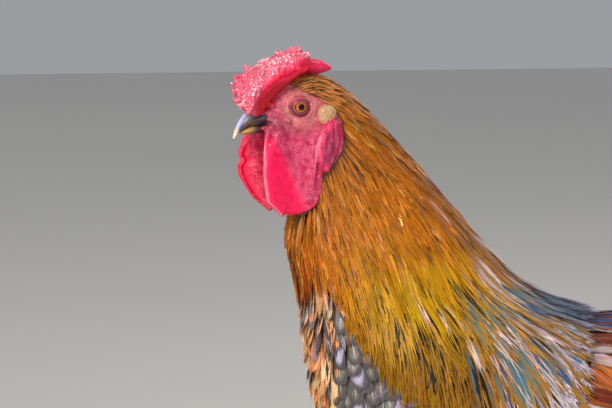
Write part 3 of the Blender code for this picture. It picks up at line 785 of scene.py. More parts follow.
def lay_barbs(coat, plan, points, side, up, stations, width, looks, rng):
    """Slender strands of four-sided roots and pointed tips along both edges of each feather."""
    count, barbs = len(points), plan.barbs * 2
    hand = np.tile((-1.0, 1.0), plan.barbs)
    first = plan.barb_from + (0.93 - plan.barb_from) * np.repeat(np.arange(plan.barbs), 2) / max(plan.barbs - 1, 1)
    start = first + rng.uniform(-0.03, 0.03, (count, barbs))
    end = start + plan.barb_reach * (1 - 0.62 * first) * rng.uniform(0.8, 1.2, (count, barbs))
    w = np.interp(start, *VANES[plan.vane])
    out_start = hand * rng.uniform(0.2, 0.55, (count, barbs)) * w
    out_end = hand * (0.30 + 0.62 * (1 - first)) * rng.uniform(0.6, 1.25, (count, barbs))
    thick = plan.barb_width * width[:, None] * rng.uniform(0.7, 1.2, (count, barbs)) * MM
    which = np.arange(count)[:, None]
    corners, ts, ss = [], [], []
    for q, share in ((0.0, 0.8), (0.55, 1.0), (1.0, 0.0)):
        s = start + (end - start) * q
        k = np.clip(np.searchsorted(stations, s) - 1, 0, len(stations) - 2)
        f = ((s - stations[k]) / (stations[k + 1] - stations[k]))[..., None]
        centre = points[which, k] * (1 - f) + points[which, k + 1] * f
        t = out_start + (out_end - out_start) * q**0.8
        across, above = side[which, k], up[which, k]
        drop = 0.12 * np.abs(t) * width[:, None] - 0.25 - 0.35 * q
        centre = centre + across * (t * width[:, None] * MM)[..., None] - above * (drop * MM)[..., None]
        for edge in (-1, 1) if share else (0,):
            corners.append(centre + across * (thick * share * edge)[..., None])
            ts.append(t)
            ss.append(s)
    each = len(corners)
    quads, triangles = ([tuple(b * each + v for v in face) for b in range(barbs)] for face in BARB_FACES)
    ground, *others = looks
    tone = np.exp(rng.normal(0, 0.15, (count, barbs, 1, 1)))
    strand = np.broadcast_to(ground[:, None, None, :] * tone, (count, barbs, each, 3)).reshape(count, -1, 3)
    t, s = (np.stack(values, 2).reshape(count, -1) for values in (ts, ss))
    send(coat, np.stack(corners, 2).reshape(count, -1, 3), quads, triangles, t, s, (strand, *others))


BAKE_PATCH = 0.003


def send(coat, points, quads, triangles, t, s, looks):
    """Hands feathers to a coat with their looks at every point; t runs across a feather and s along it."""
    vane = np.stack([0.5 + 0.5 * np.clip(t, -1, 1), np.clip(s, 0, 1)], -1)
    ground, mark, form, bake = (v if v.ndim == 3 else np.broadcast_to(v[:, None], (*t.shape, v.shape[-1]))
                                for v in looks)
    bake = np.clip(bake + (vane - 0.5) * BAKE_PATCH, 0.001, 0.999)
    coat.add(points, quads, triangles, ground=ground, mark=mark, form=form, vane=vane, bake=bake)


def dress(coat, lay, plan, i, j, length, width, depth, lift, heading, palette, rng, roll):
    """Feathers rooted at (i, j) of a lay. palette gives ground, mark and form for each from its root and tip."""
    length, width, depth, lift, heading = (np.broadcast_to(v, len(i)) for v in (length, width, depth, lift, heading))
    stations = row_shares(plan)
    points, facing = lay.trace(i, j, length * MM, heading, stations)
    paths = lift_paths(points, facing, stations, depth, lift)
    looks = (*palette(local(points[:, 0]), local(points[:, -1]), rng), lay.bake_place(i, j))
    lay_feathers(coat, plan, paths, stations, width, looks, rng, roll)


def varied(colour, rng, count, spread):
    colour = np.broadcast_to(np.asarray(colour, float), (count, 3))
    return colour * np.exp(rng.normal(0, spread, (count, 1)) + rng.normal(0, spread * 0.3, (count, 3)))


# ================================================================ materials
def plumage(name, sheen=(0.02, 0.07, 0.05), gloss=0.5):
    """One feather finish: ground colour, dark stripe or lacing, pale shaft and fine slanted barbs, darkened towards
    the root as painted shade, with a painted sheen on dark feathers.
    """
    g = Graph(name)
    u, v, _ = g.parts(g.node("ShaderNodeUVMap", {"uv_map": "vane"}))
    off = abs(u * 2 - 1)
    ground, mark = g.attribute("ground"), g.attribute("mark")
    stripe, lace, seed = g.parts(g.attribute("form", output="Vector"))
    fine = g.noise(g.join(v * 26 - off * 7, seed * 57, off * 0.6), 1.0, 3.0, 0.7)
    broad = g.noise(g.join(off * 1.5 + seed * 31, v * 3, seed * 13), 1.0)
    # Painted shade: each feather darkens towards its root, where it lies under other feathers.
    shade = 0.50 + g.step(v, 0.0, 0.55) * 0.5
    lively = g.scaled(ground, (0.30 + fine * 0.85 + broad * 0.52) * shade)
    shaft = g.step(off, 0.13, 0.04) * g.step(v, 0.95, 0.6) * (0.1 + lace * 0.55)
    shaft_colour = g.mix(g.step(g.grey(ground), 0.02, 0.10), (0.05, 0.05, 0.05), (0.75, 0.68, 0.62))
    pale = g.mix(shaft, lively, shaft_colour)
    reach = stripe * 0.72 * g.step(v, 1.02, 0.55) ** 0.6
    centre = g.step(off + fine * 0.3 - 0.15, reach + 0.08, reach - 0.06) * g.step(v, 0.12, 0.35)
    edge = ((v * 1.12 - 0.14) ** 2 * 0.9 + off * off * 0.75) ** 0.5
    rim = g.step(edge + fine * 0.2 - 0.1, 0.74, 0.92)
    striped = g.mix(centre * g.step(stripe, 0.05, 0.25), pale, mark)
    laced = g.mix(rim * lace, striped, mark)
    # Painted sheen: dark feathers take the sheen colour where they turn away from view.
    facing = g.node("ShaderNodeLayerWeight", inputs={"Blend": 0.35}, output=1)
    painted_sheen_colour = g.mix(g.step(g.grey(laced), 0.07, 0.015) * facing, laced, sheen)
    return g.finish(Base_Color=painted_sheen_colour, Roughness=gloss, Normal=g.bump(fine, 0.55, 0.0005), Specular_IOR_Level=0.14)


def bare_skin(name):
    """Flesh by its own colour attribute, pebbled and slightly wet-looking, with painted highlights on the pebbles'
    tops and painted shade in their creases; scaled legs are only roughened.
    """
    g = Graph(name)
    place, tone = g.place(), g.attribute("tone")
    grain, pebble, wrinkle = g.parts(g.attribute("grain", output="Vector"))
    speck = g.noise(place, 1700.0)
    mottle = g.noise(place, 240.0, 4.0, 0.65)
    top = 1 - (g.cells(place, 900.0) * 0.6 + g.cells(place, 520.0) * 0.4)
    raised = g.step(top + mottle * 0.5 - 0.25, 0.50, 0.82)
    # Painted shade: the tone darkens in the creases between raised pebbles, and mottle varies it at random.
    deep = g.scaled(tone, 0.50 + mottle * 0.80 - (1 - raised) * pebble * 0.14)
    swirl = g.node("ShaderNodeTexNoise", inputs={"Vector": place, "Scale": 500.0, "Detail": 1.0}, output=1)
    bent = g.vector("MULTIPLY_ADD", {0: swirl, 1: (0.0012, 0.0012, 0.0012), 2: place})
    bent = g.vector("MULTIPLY", {0: bent, 1: (0.7, 0.7, 1.35)})
    line = g.step(g.cells(bent, 760.0, "DISTANCE_TO_EDGE"), 0.30, 0.02) * g.step(mottle, 0.36, 0.66)
    # Painted highlight: the tops of the pebbles are lightened towards pale pink.
    light = g.mix(raised * pebble * (1 - wrinkle) * 0.66, deep, g.mix(0.55, tone, (1.0, 0.70, 0.76)))
    lined = g.mix(line * wrinkle * 0.38, light, g.mix(0.5, tone, (1.0, 0.58, 0.66)))
    worn = g.mix(g.step(speck, 0.60, 0.78) * grain * 0.12, lined, (0.95, 0.52, 0.58))
    bump = g.bump(top * pebble * (1 - wrinkle * 0.6) + line * wrinkle * 0.5 + speck * 0.12, 0.85, 0.0007)
    return g.finish(Base_Color=worn, Roughness=0.50 - raised * pebble * 0.14, Normal=bump, Subsurface_Weight=0.10,
                    Subsurface_Radius=(0.0022, 0.0006, 0.0005), Subsurface_Scale=1.0, Coat_Weight=0.2,
                    Coat_Roughness=0.24, Specular_IOR_Level=0.3)


def eye_finish():
    """A dark pupil in an orange iris with fine rays and a darker rim, under a clear wet surface."""
    g = Graph("eye")
    radius, angle, _ = g.parts(g.attribute("ring", output="Vector"))
    rays = g.noise(g.join(radius * 1.2, angle * 30, 0.0), 1.0, 3.0, 0.6)
    fleck = g.noise(g.join(radius * 2.0, angle * 9, 3.0), 1.0)
    colour = g.mix(g.step(rays * 0.7 + fleck * 0.5, 0.45, 0.8), (0.36, 0.070, 0.003), (0.80, 0.24, 0.010))
    for share, over in ((g.step(radius, 3.3, 4.15), (0.13, 0.02, 0.004)),
                        (g.step(radius, 2.9, 2.2) * 0.6, (0.30, 0.05, 0.004)),
                        (g.step(radius, 2.34, 2.2), (0.002, 0.002, 0.005)),
                        (g.step(radius, 4.6, 5.4), (0.30, 0.10, 0.08))):
        colour = g.mix(share, colour, over)
    return g.finish(Base_Color=colour, Roughness=0.25, Coat_Weight=0.8, Coat_Roughness=0.02, Specular_IOR_Level=0.0)


def horn(name, gloss=0.34):
    """Layered horn coloured by its attribute, with faint growth lines."""
    g = Graph(name)
    place, tone = g.place(), g.attribute("tone")
    layers = g.noise(place, 420.0, 4.0, 0.6)
    fine = g.noise(place, 1800.0)
    scuffed = g.mix(g.step(fine, 0.62, 0.8) * 0.18, g.scaled(tone, 0.66 + layers * 0.68), (0.7, 0.66, 0.66))
    return g.finish(Base_Color=scuffed, Roughness=gloss, Normal=g.bump(layers + fine * 0.3, 0.35, 0.0004),
                    Coat_Weight=0.08, Coat_Roughness=0.25, Specular_IOR_Level=0.3)


def floor_finish():
    g = Graph("floor")
    return g.finish(Base_Color=g.mix(g.noise(g.place(), 1.2), (0.66, 0.65, 0.62), (0.70, 0.69, 0.66)), Roughness=0.8)


# ================================================================ the skin
BARE_EDGE = ((580, -9), (572, -8), (568, -2), (564, 5), (560, 13), (555, 23), (545, 27.5), (535, 28), (525, 26),
             (517, 20), (510, 12), (503, 6), (495, 0), (484, -6), (470, -12))
COMB_RIM = ((-38, 548), (-35, 550.7), (-32.4, 560.4), (-28.4, 567.2), (-21.4, 573.4), (-14.6, 577.9), (-7.3, 579.6),
            (1.4, 584.5), (10, 586))
COMB_BASE_HALF = 8.2
COMB_POINTS = ((-37.5, 9, 574, 2.6), (-40.5, 6, 569.5, 2.3), (-42.2, 1, 566, 2.4), (-42.8, -4, 559, 2.2),
               (-40, -8, 556.5, 2.3), (-36.5, -11, 552.5, 2.3), (-37, 1, 575.5, 2.0), (-30, 10, 580, 2.3),
               (-3, -3, 591.5, 2.2), (1.5, -5, 593, 2.6), (4, 3, 592.5, 2.2), (-9, 5, 590, 2.3), (-16, -4, 586, 2.0),
               (7, -8, 590, 2.0), (-22, 3, 583, 2.2))
# The folds round the mouth and the rolled front edge of the wattle: x, y outwards, z and radius.
MOUTH_FOLDS = (
    ((-12, 13.2, 540, 1.8), (-18, 11.6, 542, 2.2), (-22.2, 11.4, 538.5, 2.3), (-23.6, 12.6, 531, 2.1),
     (-24.8, 13.6, 519, 1.8), (-25.0, 13.7, 508, 1.7), (-24.0, 13.4, 498, 1.6), (-21.0, 13.1, 489.5, 1.6),
     (-12.5, 12.8, 481.2, 1.6)),
    ((-22.5, 7.6, 551.0, 1.5), (-19, 9.8, 550.4, 1.8), (-14, 12.4, 548.4, 1.5), (-8, 14.6, 545.5, 1.2)),
    ((-22.5, 8.2, 546.5, 1.3), (-19, 9.9, 546.2, 1.6), (-13, 12.8, 543.8, 1.3)),
    ((-23.5, 5.6, 556.0, 1.5), (-18.5, 8.6, 556.6, 2.0)),
    ((-25.0, 7.4, 540.6, 1.5), (-22.0, 8.6, 540.8, 2.0), (-19, 10.0, 540, 2.4)),
    ((-20.5, 8.8, 537, 3.0), (-20, 10.2, 531, 3.2), (-17, 10.4, 526, 3.4), (-12, 10.5, 530, 3.6),
     (-13, 10.5, 537, 3.6)),
    ((-18.5, 10.6, 536.5, 2.7), (-16.0, 11.0, 533.5, 3.0), (-16.5, 10.4, 538.5, 3.0)),
    ((7, 12, 527, 3.0), (7.2, 12, 515, 3.0), (6.6, 12, 503, 3.0), (5.0, 12, 494, 3.0), (2, 12, 487, 2.8)),
    ((4, 12, 527, 2.8), (4, 12, 515, 2.6), (3.5, 12, 503, 2.6)),
    ((8.9, 12.2, 528, 2.6), (9.2, 12.2, 517, 2.7), (8.8, 12.2, 506, 2.7), (7.2, 12.2, 497, 2.7),
     (3.6, 12.2, 489, 2.6)),
    ((10.8, 12.3, 531, 2.6), (11.2, 12.2, 518, 2.3), (10.7, 12.2, 507, 2.2), (9.0, 12.2, 497, 2.2),
     (5.6, 12.2, 488.5, 2.2), (0.3, 12.2, 483, 2.1), (-6, 12.4, 481.2, 1.9)),
)
LOBE_RIM = ((13.5, 514, 1.4), (10.8, 521, 1.5), (11.4, 530, 1.5), (14.2, 538, 1.4), (18.5, 543.5, 1.3),
            (23.5, 544.5, 1.3), (26.8, 540, 1.3), (27.2, 532, 1.2), (24.6, 524, 1.2), (20.5, 516.5, 1.3),
            (16.2, 511.2, 1.3))
# Heights and how far back the left wattle reaches there, behind its rolled edge.
WATTLE_REAR = ((480, 482, 487.5, 497, 507, 518, 531), (-9, 2, 8, 11.2, 13, 13.4, 13.6))
HEAD_PARTS = ("head", "comb", "wattle_left", "wattle_right", "earlobe_left", "earlobe_right", "neck", "ear_left",
              "ear_right")
THIGH_NODES = ("thigh_left", "thigh_right")
NECK_CUT = ((62.0, 0.0, 540.0), (0.0, 0.0, 470.0))
LEG_CUT_Z = 142.0
TAIL_CUT_X = 372.0
LID_FORM = ((-0.6, -1.3), (-0.2, 0.0), (0.0, 0.36), (0.25, 0.70), (0.6, 0.86), (0.95, 0.7), (1.2, 0.34),
            (1.45, 0.4), (1.8, 0.72), (2.3, 0.76), (2.8, 0.45), (3.3, 0.0), (4.1, -0.9))
LID_AROUND = 112
# The margin, pad, fold and rim of a lid, each below and above the eye; the fold's dark crimson is painted shade in its
# groove.
LID_COLOURS = (((0.13, 0.05, 0.06), (0.30, 0.05, 0.09)), ((0.36, 0.15, 0.16), (0.46, 0.09, 0.14)),
               ((0.16, 0.010, 0.022), (0.20, 0.018, 0.04)), ((0.50, 0.08, 0.10), (0.56, 0.10, 0.12)))


def past_edge(q):
    """How far behind the edge of the bare face points of the unturned head lie, in millimetres."""
    return q[..., 0] - np.interp(q[..., 2], *np.array(sorted(BARE_EDGE), float).T)


def feather_share(q):
    """0 on the bare face and 1 where the plumage of the neck begins, for points of the unturned head."""
    return smooth(past_edge(q), -1.0, 3.0)


def comb_rim(p):
    """Height of the comb's smooth lower rim under or over each point."""
    return np.interp(p[:, 0], *np.array(COMB_RIM, float).T)


def lobe_place(p):
    """How far ahead of the middle of an earlobe points lie and how far out, 1 at its edge."""
    ahead = (p[:, 0] - 18.2 + (p[:, 2] - 528) * -0.24) / 8.4
    return ahead, np.hypot(ahead, (p[:, 2] - 528) / 18.5)


def neck_plane(shift=0.0):
    back, front = (np.array(p) for p in NECK_CUT)
    normal = unit(np.cross(front - back, (0.0, 1.0, 0.0)))
    return Vector(world((back + front) / 2 + normal * shift)), Vector(normal)


def head_ball(place, radius):
    """A small ball of flesh at a place of the unturned head, in millimetres."""
    spot = world(turned(place, HEAD_TURN))
    bpy.ops.mesh.primitive_ico_sphere_add(subdivisions=2, radius=radius * MM, location=spot)
    return bpy.context.object


def comb_flesh():
    """The comb with its top standing out over a narrower base, like a cushion on a wall."""
    comb = copy_nodes("comb_part", ("comb",), 0.2)
    with edited(comb.data) as shape:
        bmesh.ops.subdivide_edges(shape, edges=shape.edges[:], cuts=4, use_grid_fill=True)
        bmesh.ops.triangulate(shape, faces=shape.faces[:])
    p = head_points(comb.data)
    below = smooth(comb_rim(p) - p[:, 2], 0.6, 4.0) * smooth(p[:, 0], 11, 6)
    wide = np.abs(p[:, 1])
    narrow = np.minimum(wide, COMB_BASE_HALF + 0.10 * wide)
    p[:, 1] = np.sign(p[:, 1]) * (wide * (1 - below) + narrow * below)
    put_head_points(comb.data, p)
    return comb


def comb_nubs():
    """Small rounded points over the top and front of the comb, larger ones along its outline."""
    rng = np.random.default_rng(5)
    tree, _ = tree_of(("comb",))
    pieces = [head_ball((x, y, z), r) for x, y, z, r in COMB_POINTS]
    pieces += [head_ball((x * 1.03, y, z + 1.2), r * 0.6) for x, y, z, r in COMB_POINTS]
    for x, y in product(np.arange(-40, 9, 3.9), np.arange(-16, 17, 4.1)):
        above = turned((x + rng.uniform(-1.2, 1.2), y + rng.uniform(-1.2, 1.2), 620.0), HEAD_TURN)
        hit, normal = cast(tree, above, (0, 0, -1), 0.09)
        if hit is not None and normal.z > 0.25:
            pieces.append(head_ball(turned(hit, -HEAD_TURN) - (0, 0, 0.4), rng.uniform(1.3, 2.1)))
    return pieces


def flare(p):
    """How far the rear of the left wattle stands out from the neck, in millimetres."""
    return 10.5 * smooth(p[..., 0], -3, 13) * smooth(p[..., 2], 543, 530)


def fold_balls():
    """Chains of balls that become the folds of the face, the wattles' rolled edges and the lobes' rims."""
    pieces = []
    for side, _ in SIDES:
        swing = -11.5 if side == RIGHT else 0.0
        for fold in MOUTH_FOLDS:
            for x, y, z, radius in spline(fold, 7):
                y += flare(np.array((x, y, z))) if side == LEFT else 0.0
                pieces.append(head_ball((x + swing * float(smooth(z, 541, 522)), side * y, z), radius))
        for x, z, radius in spline(LOBE_RIM + LOBE_RIM[:1], 6):
            low = 3.0 * float(smooth(z, 532, 514)) if side == LEFT else 0.0
            pieces.append(head_ball((x, side * (22.2 + low - abs(z - 528) * 0.05), z), radius))
    return pieces


def left_lobes():
    """The left wattle flared at the back and the left earlobe hanging over it."""
    wattle, lobe = (copy_nodes(f"{name}_part", (f"{name}_left",), 0.4) for name in ("wattle", "earlobe"))
    p = head_points(wattle.data)
    p[:, 1] -= flare(p)
    p[:, 0] -= 4.0 * smooth(p[:, 0], 2, 16)
    put_head_points(wattle.data, p)
    p = head_points(lobe.data)
    p[:, 1] -= 3.0 * smooth(p[:, 2], 532, 514)
    put_head_points(lobe.data, p)
    return wattle, lobe


def head_flesh():
    flesh = copy_nodes("skin", ("head", "wattle_right", "earlobe_right", "ear_left", "ear_right"), 0.4)
    neck = copy_nodes("neck_part", ("neck",), 0.4)
    cut_away(neck, *neck_plane(8.0), close=True)
    balls = copy_nodes("balls", ("eye_left", "eye_right"), 0.5)
    merge_objects([flesh, neck, balls, comb_flesh(), *left_lobes(), *comb_nubs(), *fold_balls()])
    remesh(flesh, setting("head_grain"), 3)
    sculpt_head(flesh.data)
    cut_away(flesh, *neck_plane())
    return flesh


def relaxed(mesh, points, mask, rounds):
    """Evens out points towards their neighbours where the mask is high."""
    edges = np.empty(len(mesh.edges) * 2, np.int32)
    mesh.edges.foreach_get("vertices", edges)
    a, b = edges.reshape(-1, 2).T
    count = np.bincount(a, minlength=len(points)) + np.bincount(b, minlength=len(points))
    for _ in range(rounds):
        total = np.zeros_like(points)
        for k in range(3):
            total[:, k] = np.bincount(a, points[b, k], len(points)) + np.bincount(b, points[a, k], len(points))
        points = points + (total / np.maximum(count, 1)[:, None] - points) * (mask * 0.6)[:, None]
    return points


def round_patch(p, x, z, wide, high):
    """1 over a round patch of the side view, falling steeply to 0 at its edge."""
    return np.exp(-(((p[:, 0] - x) / wide) ** 2 + ((p[:, 2] - z) / high) ** 2) ** 2)


Masks = namedtuple("Masks", "comb wattle lobe ear face")


def flesh_masks(mesh, p):
    """Which points belong to the comb, a wattle, an earlobe, an ear and the face or neck."""
    tree, owner = tree_of(HEAD_PARTS)
    near = np.array([owner[tree.find_nearest(Vector(c))[2]] for c in positions(mesh)])
    comb, wattle = near == 1, (near == 2) | (near == 3)
    lobe, ear = (near == 4) | (near == 5), near > 6
    x, y, z = p.T
    _, lobe_r = lobe_place(p)
    wattle |= lobe & (lobe_r > 1.22) & (z < 531)
    lobe &= lobe_r < 1.22
    fan = (y < 0) & (z < 531) & (x > -3) & (x < np.interp(z, *WATTLE_REAR)) & (-y > 10.4 + flare(p)) & ~lobe
    wattle |= fan & ~ear
    return Masks(comb, wattle, lobe, ear, ~(comb | wattle | lobe | ear)), lobe_r


def even_seams(mesh, p, masks):
    """Smooths the joins of the parts: under the face, round the mouth, on the lores and down the near wattle."""
    jaw = smooth(p[:, 2], 516, 522) * smooth(p[:, 2], 545, 538) * smooth(p[:, 0], -12, -8)
    seam = jaw * ~masks.lobe * ~masks.comb
    p = relaxed(mesh, p, seam, 40)
    p = relaxed(mesh, p, round_patch(p, -17, 543, 8.5, 10.0) * ~masks.comb, 14)
    lores = round_patch(p, -25, 549, 5.5, 8.0) * masks.face
    p = relaxed(mesh, p, lores, 24)
    hang = smooth(p[:, 0], -9, -3) * smooth(p[:, 2], 532, 526) * (p[:, 1] < -6) * masks.wattle
    return relaxed(mesh, p, hang, 36), lores


def sculpt_head(mesh):
    """Folds, pebbles and sockets, and the colours of the bare parts, on the even mesh of the head's flesh."""
    p = head_points(mesh)
    masks, lobe_r = flesh_masks(mesh, p)
    comb, wattle, lobe, ear, face = masks
    n = head_normals(mesh)
    p, lores = even_seams(mesh, p, masks)
    x, y, z = p.T
    far = smooth(y, 2.0, 6.0) * smooth(z, 541, 528) * smooth(x, 3, -4)
    notch = 2.4 * np.exp(-((z - 516) / 2.4) ** 2) * smooth(x, -26, -32)
    x += far * (3.0 + 8.5 * smooth(z, 512, 482) + notch)
    side = np.sign(y)
    eye_distance = np.hypot(x, z - EYE_LEVEL)
    rim = comb_rim(p)
    rough = (0.25 + 0.75 * smooth(z - rim, 1.5, 4.5)) * (1 - 0.85 * smooth(x, 9, 13))
    loose = p + np.stack([cloud(p, 2.6, seed) for seed in (16, 17, 18)], 1) * 0.9
    knobs = pebbles(loose, 2.0, 1) * 0.85 + pebbles(loose, 3.7, 19) * 0.75 - 0.75
    out = comb * (knobs + cloud(p, 8, 2) * 0.5) * smooth(z, 550, 556) * rough
    droop = np.stack([x, y, z * 0.42], 1)
    smooth_patch = wattle * patch_share(p)
    out += wattle * (1 - smooth_patch) * (cloud(droop, 5.5, 3) * 0.55 + pebbles(p, 1.7, 4) * 0.36 - 0.15)
    strand = np.stack([x * 1.6, y, (z + x) * 0.3], 1)
    out += lobe * (smooth(lobe_r, 0.35, 0.8) * 0.7 - 1.0 + cloud(strand, 2.6, 5) * 0.4)
    bare = face * (1 - feather_share(p)) * smooth(eye_distance, 6.0, 9.0) * (1 - 0.8 * lores)
    folds = np.stack([x * 0.6, y, z], 1)
    low = smooth(z, 545, 530)
    out += bare * (cloud(folds, 4.2, 6) * 0.7 + pebbles(p, 1.9, 7) * (0.35 + 0.25 * low))
    around = eye_distance + cloud(p, 5.0, 14) * 1.1
    rings = np.cos((around - 8.2) * 2 * math.pi / 2.7) * np.exp(-((eye_distance - 8.0) / 2.6) ** 2)
    out += face * rings * 0.2 * smooth(eye_distance, 6.5, 8.0)
    out -= face * (feather_share(p) * (1.3 + 4.5 * smooth(past_edge(p), 3, 34)))
    p += n * out[:, None]
    socket = (eye_distance < 7.4) & (np.abs(y) > 5) & ~comb
    ball = EYE_SIDE + np.sqrt(np.maximum(EYE_RADIUS**2 - eye_distance**2, 0))
    sunk = np.minimum(np.abs(y), ball - 1.7 + 1.4 * smooth(eye_distance, 5.6, 7.4))
    y[socket] = (side * sunk)[socket]
    colour_attribute(mesh, "tone", head_tones(p, n, masks, eye_distance, out))
    plain = 1 - feather_share(p) * face
    knobbed = (0.08 + 0.92 * smooth(z - rim, 0.5, 4.0)) * (1 - 0.7 * smooth(x, 9, 13))
    pebbled = np.select([comb, wattle, lobe], [knobbed, 0.75 - 0.7 * smooth_patch, 0.25], 0.5 + 0.3 * low) * plain
    wrinkled = np.select([wattle, comb | ear, lobe], [1 - smooth_patch, 0.0, 0.15], 0.8) * plain
    grain = np.where(wattle, 0.8 - 0.75 * smooth_patch, 0.8) * ~ear
    colour_attribute(mesh, "grain", np.stack([grain, pebbled, wrinkled], 1))
    put_head_points(mesh, p)


def patch_share(p):
    """1 on the smooth front half of a wattle's outer face, fading backwards."""
    x = p[:, 0] - np.where(p[:, 1] > 0, -9.0, 0.0) + cloud(p, 7.0, 15) * 1.2
    back = np.interp(p[:, 2], (482, 492, 505, 520, 540), (5.0, 0.0, -6.0, -13.0, -23.0))
    return (smooth(x - back, 5.0, -4.0) * smooth(x, -26.8, -25.4) * smooth(np.abs(p[:, 1]), 11.5, 12.8)
            * smooth(p[:, 2], 540, 530))


def head_tones(p, n, masks, eye_distance, out):
    """Colours of the bare parts: pink-tipped comb, crimson folds, paler skin round the eye, dark brown painted shade
    under plumage; raised skin gets painted light and sunk skin painted shade.
    """
    x, y, z = p.T
    # Painted light and shade: the lower face is lighter where the skin stands out and darker where it is sunk.
    low = blend((0.54, 0.008, 0.085), (0.74, 0.055, 0.16), smooth(out, 0.0, 0.8))
    # Painted shade: a dark line along the crease of the mouth.
    gape = np.exp(-((z - 544.0 - (x + 20) * 0.12) / 1.2) ** 2) * smooth(x, -12, -19)
    face = painted(blend((0.44, 0.026, 0.065), (0.63, 0.062, 0.10), 0.5 + 0.5 * cloud(p, 4.0, 8)),
                   (tint("face_pink"), np.exp(-((eye_distance - 9.5) / 4.5) ** 2) * 0.85),
                   ((0.44, 0.028, 0.085), smooth(x, -9, -15) * 0.8), (low, smooth(z, 543, 531) * smooth(x, 22, 12)),
                   ((0.14, 0.008, 0.02), gape * 0.85))
    # Painted shade in the hollows of the face and painted light on its raised folds.
    face = face * (0.80 + 0.34 * smooth(out, -0.6, 0.7))[:, None]
    # Painted shade: skin under the plumage turns dark brown, as in the gaps between feathers.
    face = blend(face, (0.12, 0.04, 0.01), feather_share(p))
    over_rim = z - comb_rim(p)
    # Painted highlight: the comb's pebbles turn near-white pink as they stand out.
    top = blend((0.90, 0.10, 0.20), tint("comb_highlight_pink"), smooth(out, -0.1, 0.64))
    # Painted shade: the wall under the rim is dark crimson under the comb's overhang; painted light: the pebbled top's
    # colour is laid only where it faces upwards.
    comb = painted(blend((0.56, 0.001, 0.014), tint("comb_red"), smooth(over_rim, -8.5, -5.0)),
                   (top, smooth(over_rim, 0.5, 4.5) * smooth(n[:, 2], -0.5, 0.2)), (top, smooth(x, -28, -35)),
                   ((0.88, 0.02, 0.11), smooth(x, 10, 15) * 0.85))
    # Painted light: raised parts of the wattles are lightened as highlights.
    high = smooth(out, -0.2, 0.55)
    rolled = np.exp(-((x + np.interp(z, (482, 491, 508, 531), (14, 23.3, 26.6, 25.6))) / 0.7) ** 2)
    wattle = painted(blend((0.60, 0.005, 0.085), (0.84, 0.085, 0.20), high * 0.6),
                     (tint("wattle_pink"), patch_share(p)), ((0.94, 0.26, 0.34), rolled * (y < 0) * 0.75),
                     ((0.92, 0.008, 0.07), smooth(y, 3, 9) * (1 - high * 0.5)))
    wattle = blend(face, wattle, smooth(z + cloud(p, 6.0, 21) * 4, 542, 532))
    ahead, radius = lobe_place(p)
    lobe = painted(blend((0.44, 0.02, 0.09), (0.78, 0.015, 0.11), smooth(radius, 0.5, 0.85)),
                   ((0.94, 0.24, 0.33), smooth(-ahead, 0.78, 0.98) * 0.7))
    lobe = lobe * (0.85 + 0.5 * cloud(np.stack([x * 2.4, y, (z + x) * 0.3], 1), 1.8, 12))[:, None]
    tones = face
    for mask, tone in zip(masks, (comb, wattle, lobe, (0.55, 0.32, 0.15))):
        tones = np.where(mask[:, None], tone, tones)
    return np.clip(tones, 0, 1)


def lids(skin):
    """Both eyes' lids: a clean wet margin over the ball, a groove and an outer rim that sinks into the face."""
    mesh = skin.data
    tree = BVHTree.FromPolygons([Vector(c) for c in positions(mesh)], [tuple(f.vertices) for f in mesh.polygons])
    pieces = []
    phi = np.arange(LID_AROUND) / LID_AROUND * 2 * math.pi
    inner = np.stack([4.55 * np.cos(phi), np.where(np.sin(phi) > 0, 3.1, 3.75) * np.sin(phi)], 1)
    inner[:, 1] -= 0.25 * np.cos(phi)
    away = unit(np.stack([np.cos(phi) / 4.5, np.sin(phi) / 3.6], 1))
    for side, word in SIDES:
        inward = turned_way((0, -side, 0.0), HEAD_TURN)
        rows, tones = [], []
        for grow, rise in LID_FORM:
            flat = inner + away * grow
            wrinkle = 0.10 * np.sin(phi * 23 + grow * 3) * smooth(grow, 0.3, 1.4) * smooth(grow, 4.8, 3.0)
            reach = np.hypot(flat[:, 0], flat[:, 1])
            ball = EYE_SIDE + np.sqrt(np.maximum(EYE_RADIUS**2 - reach**2, 1.0)) + rise + wrinkle
            share = smooth(grow, 1.4, 3.0)
            y = []
            for (x, z), b in zip(flat, ball):
                hit, _ = cast(tree, turned((x, side * 30, EYE_LEVEL + z), HEAD_TURN), inward, 0.03)
                face = b if hit is None else abs(turned(hit, -HEAD_TURN)[1])
                over_ball = EYE_SIDE + math.sqrt(max(EYE_RADIUS**2 - x * x - z * z, 0)) + 0.25
                low = over_ball if math.hypot(x, z) < 7.3 else 0.0
                y.append(max(b * (1 - share) + (max(face, b - 1.5) + rise * 0.6) * share, low * (grow > 0.2)))
            rows.append(np.stack([flat[:, 0], side * np.array(y), EYE_LEVEL + flat[:, 1]], 1))
            tones.append(lid_tones(grow, phi))
        points = world(turned(np.vstack(rows), HEAD_TURN))
        quads = [q[::-side] for q in grid_quads(len(LID_FORM), LID_AROUND, True)]
        made = bpy.data.meshes.new("lids")
        made.from_pydata([tuple(c) for c in points], [], quads)
        colour_attribute(made, "tone", np.vstack(tones))
        colour_attribute(made, "grain", np.tile((0.15, 0.12, 0.0), (len(points), 1)))
        pieces.append(new_object(f"lids_{word}", made))
    return pieces


def lid_tones(grow, phi):
    """Colours round one row of a lid: a dark line of painted shade where the lid meets the ball, a wet margin, a pale
    pad, a fold darkened with painted shade in its groove, and a rim.
    """
    upper = smooth(np.sin(phi), -0.15, 0.25)
    margin, pad, fold, rim = (blend(below, above, upper) for below, above in LID_COLOURS)
    # Painted shade where the lid tucks against the ball.
    if grow <= 0:
        return np.tile((0.05, 0.012, 0.02), (len(phi), 1))
    if grow < 0.5:
        return margin
    if grow < 1.1:
        return pad
    return blend(pad, fold, 0.9) if grow < 1.7 else blend(fold, rim, smooth(grow, 1.7, 2.9))


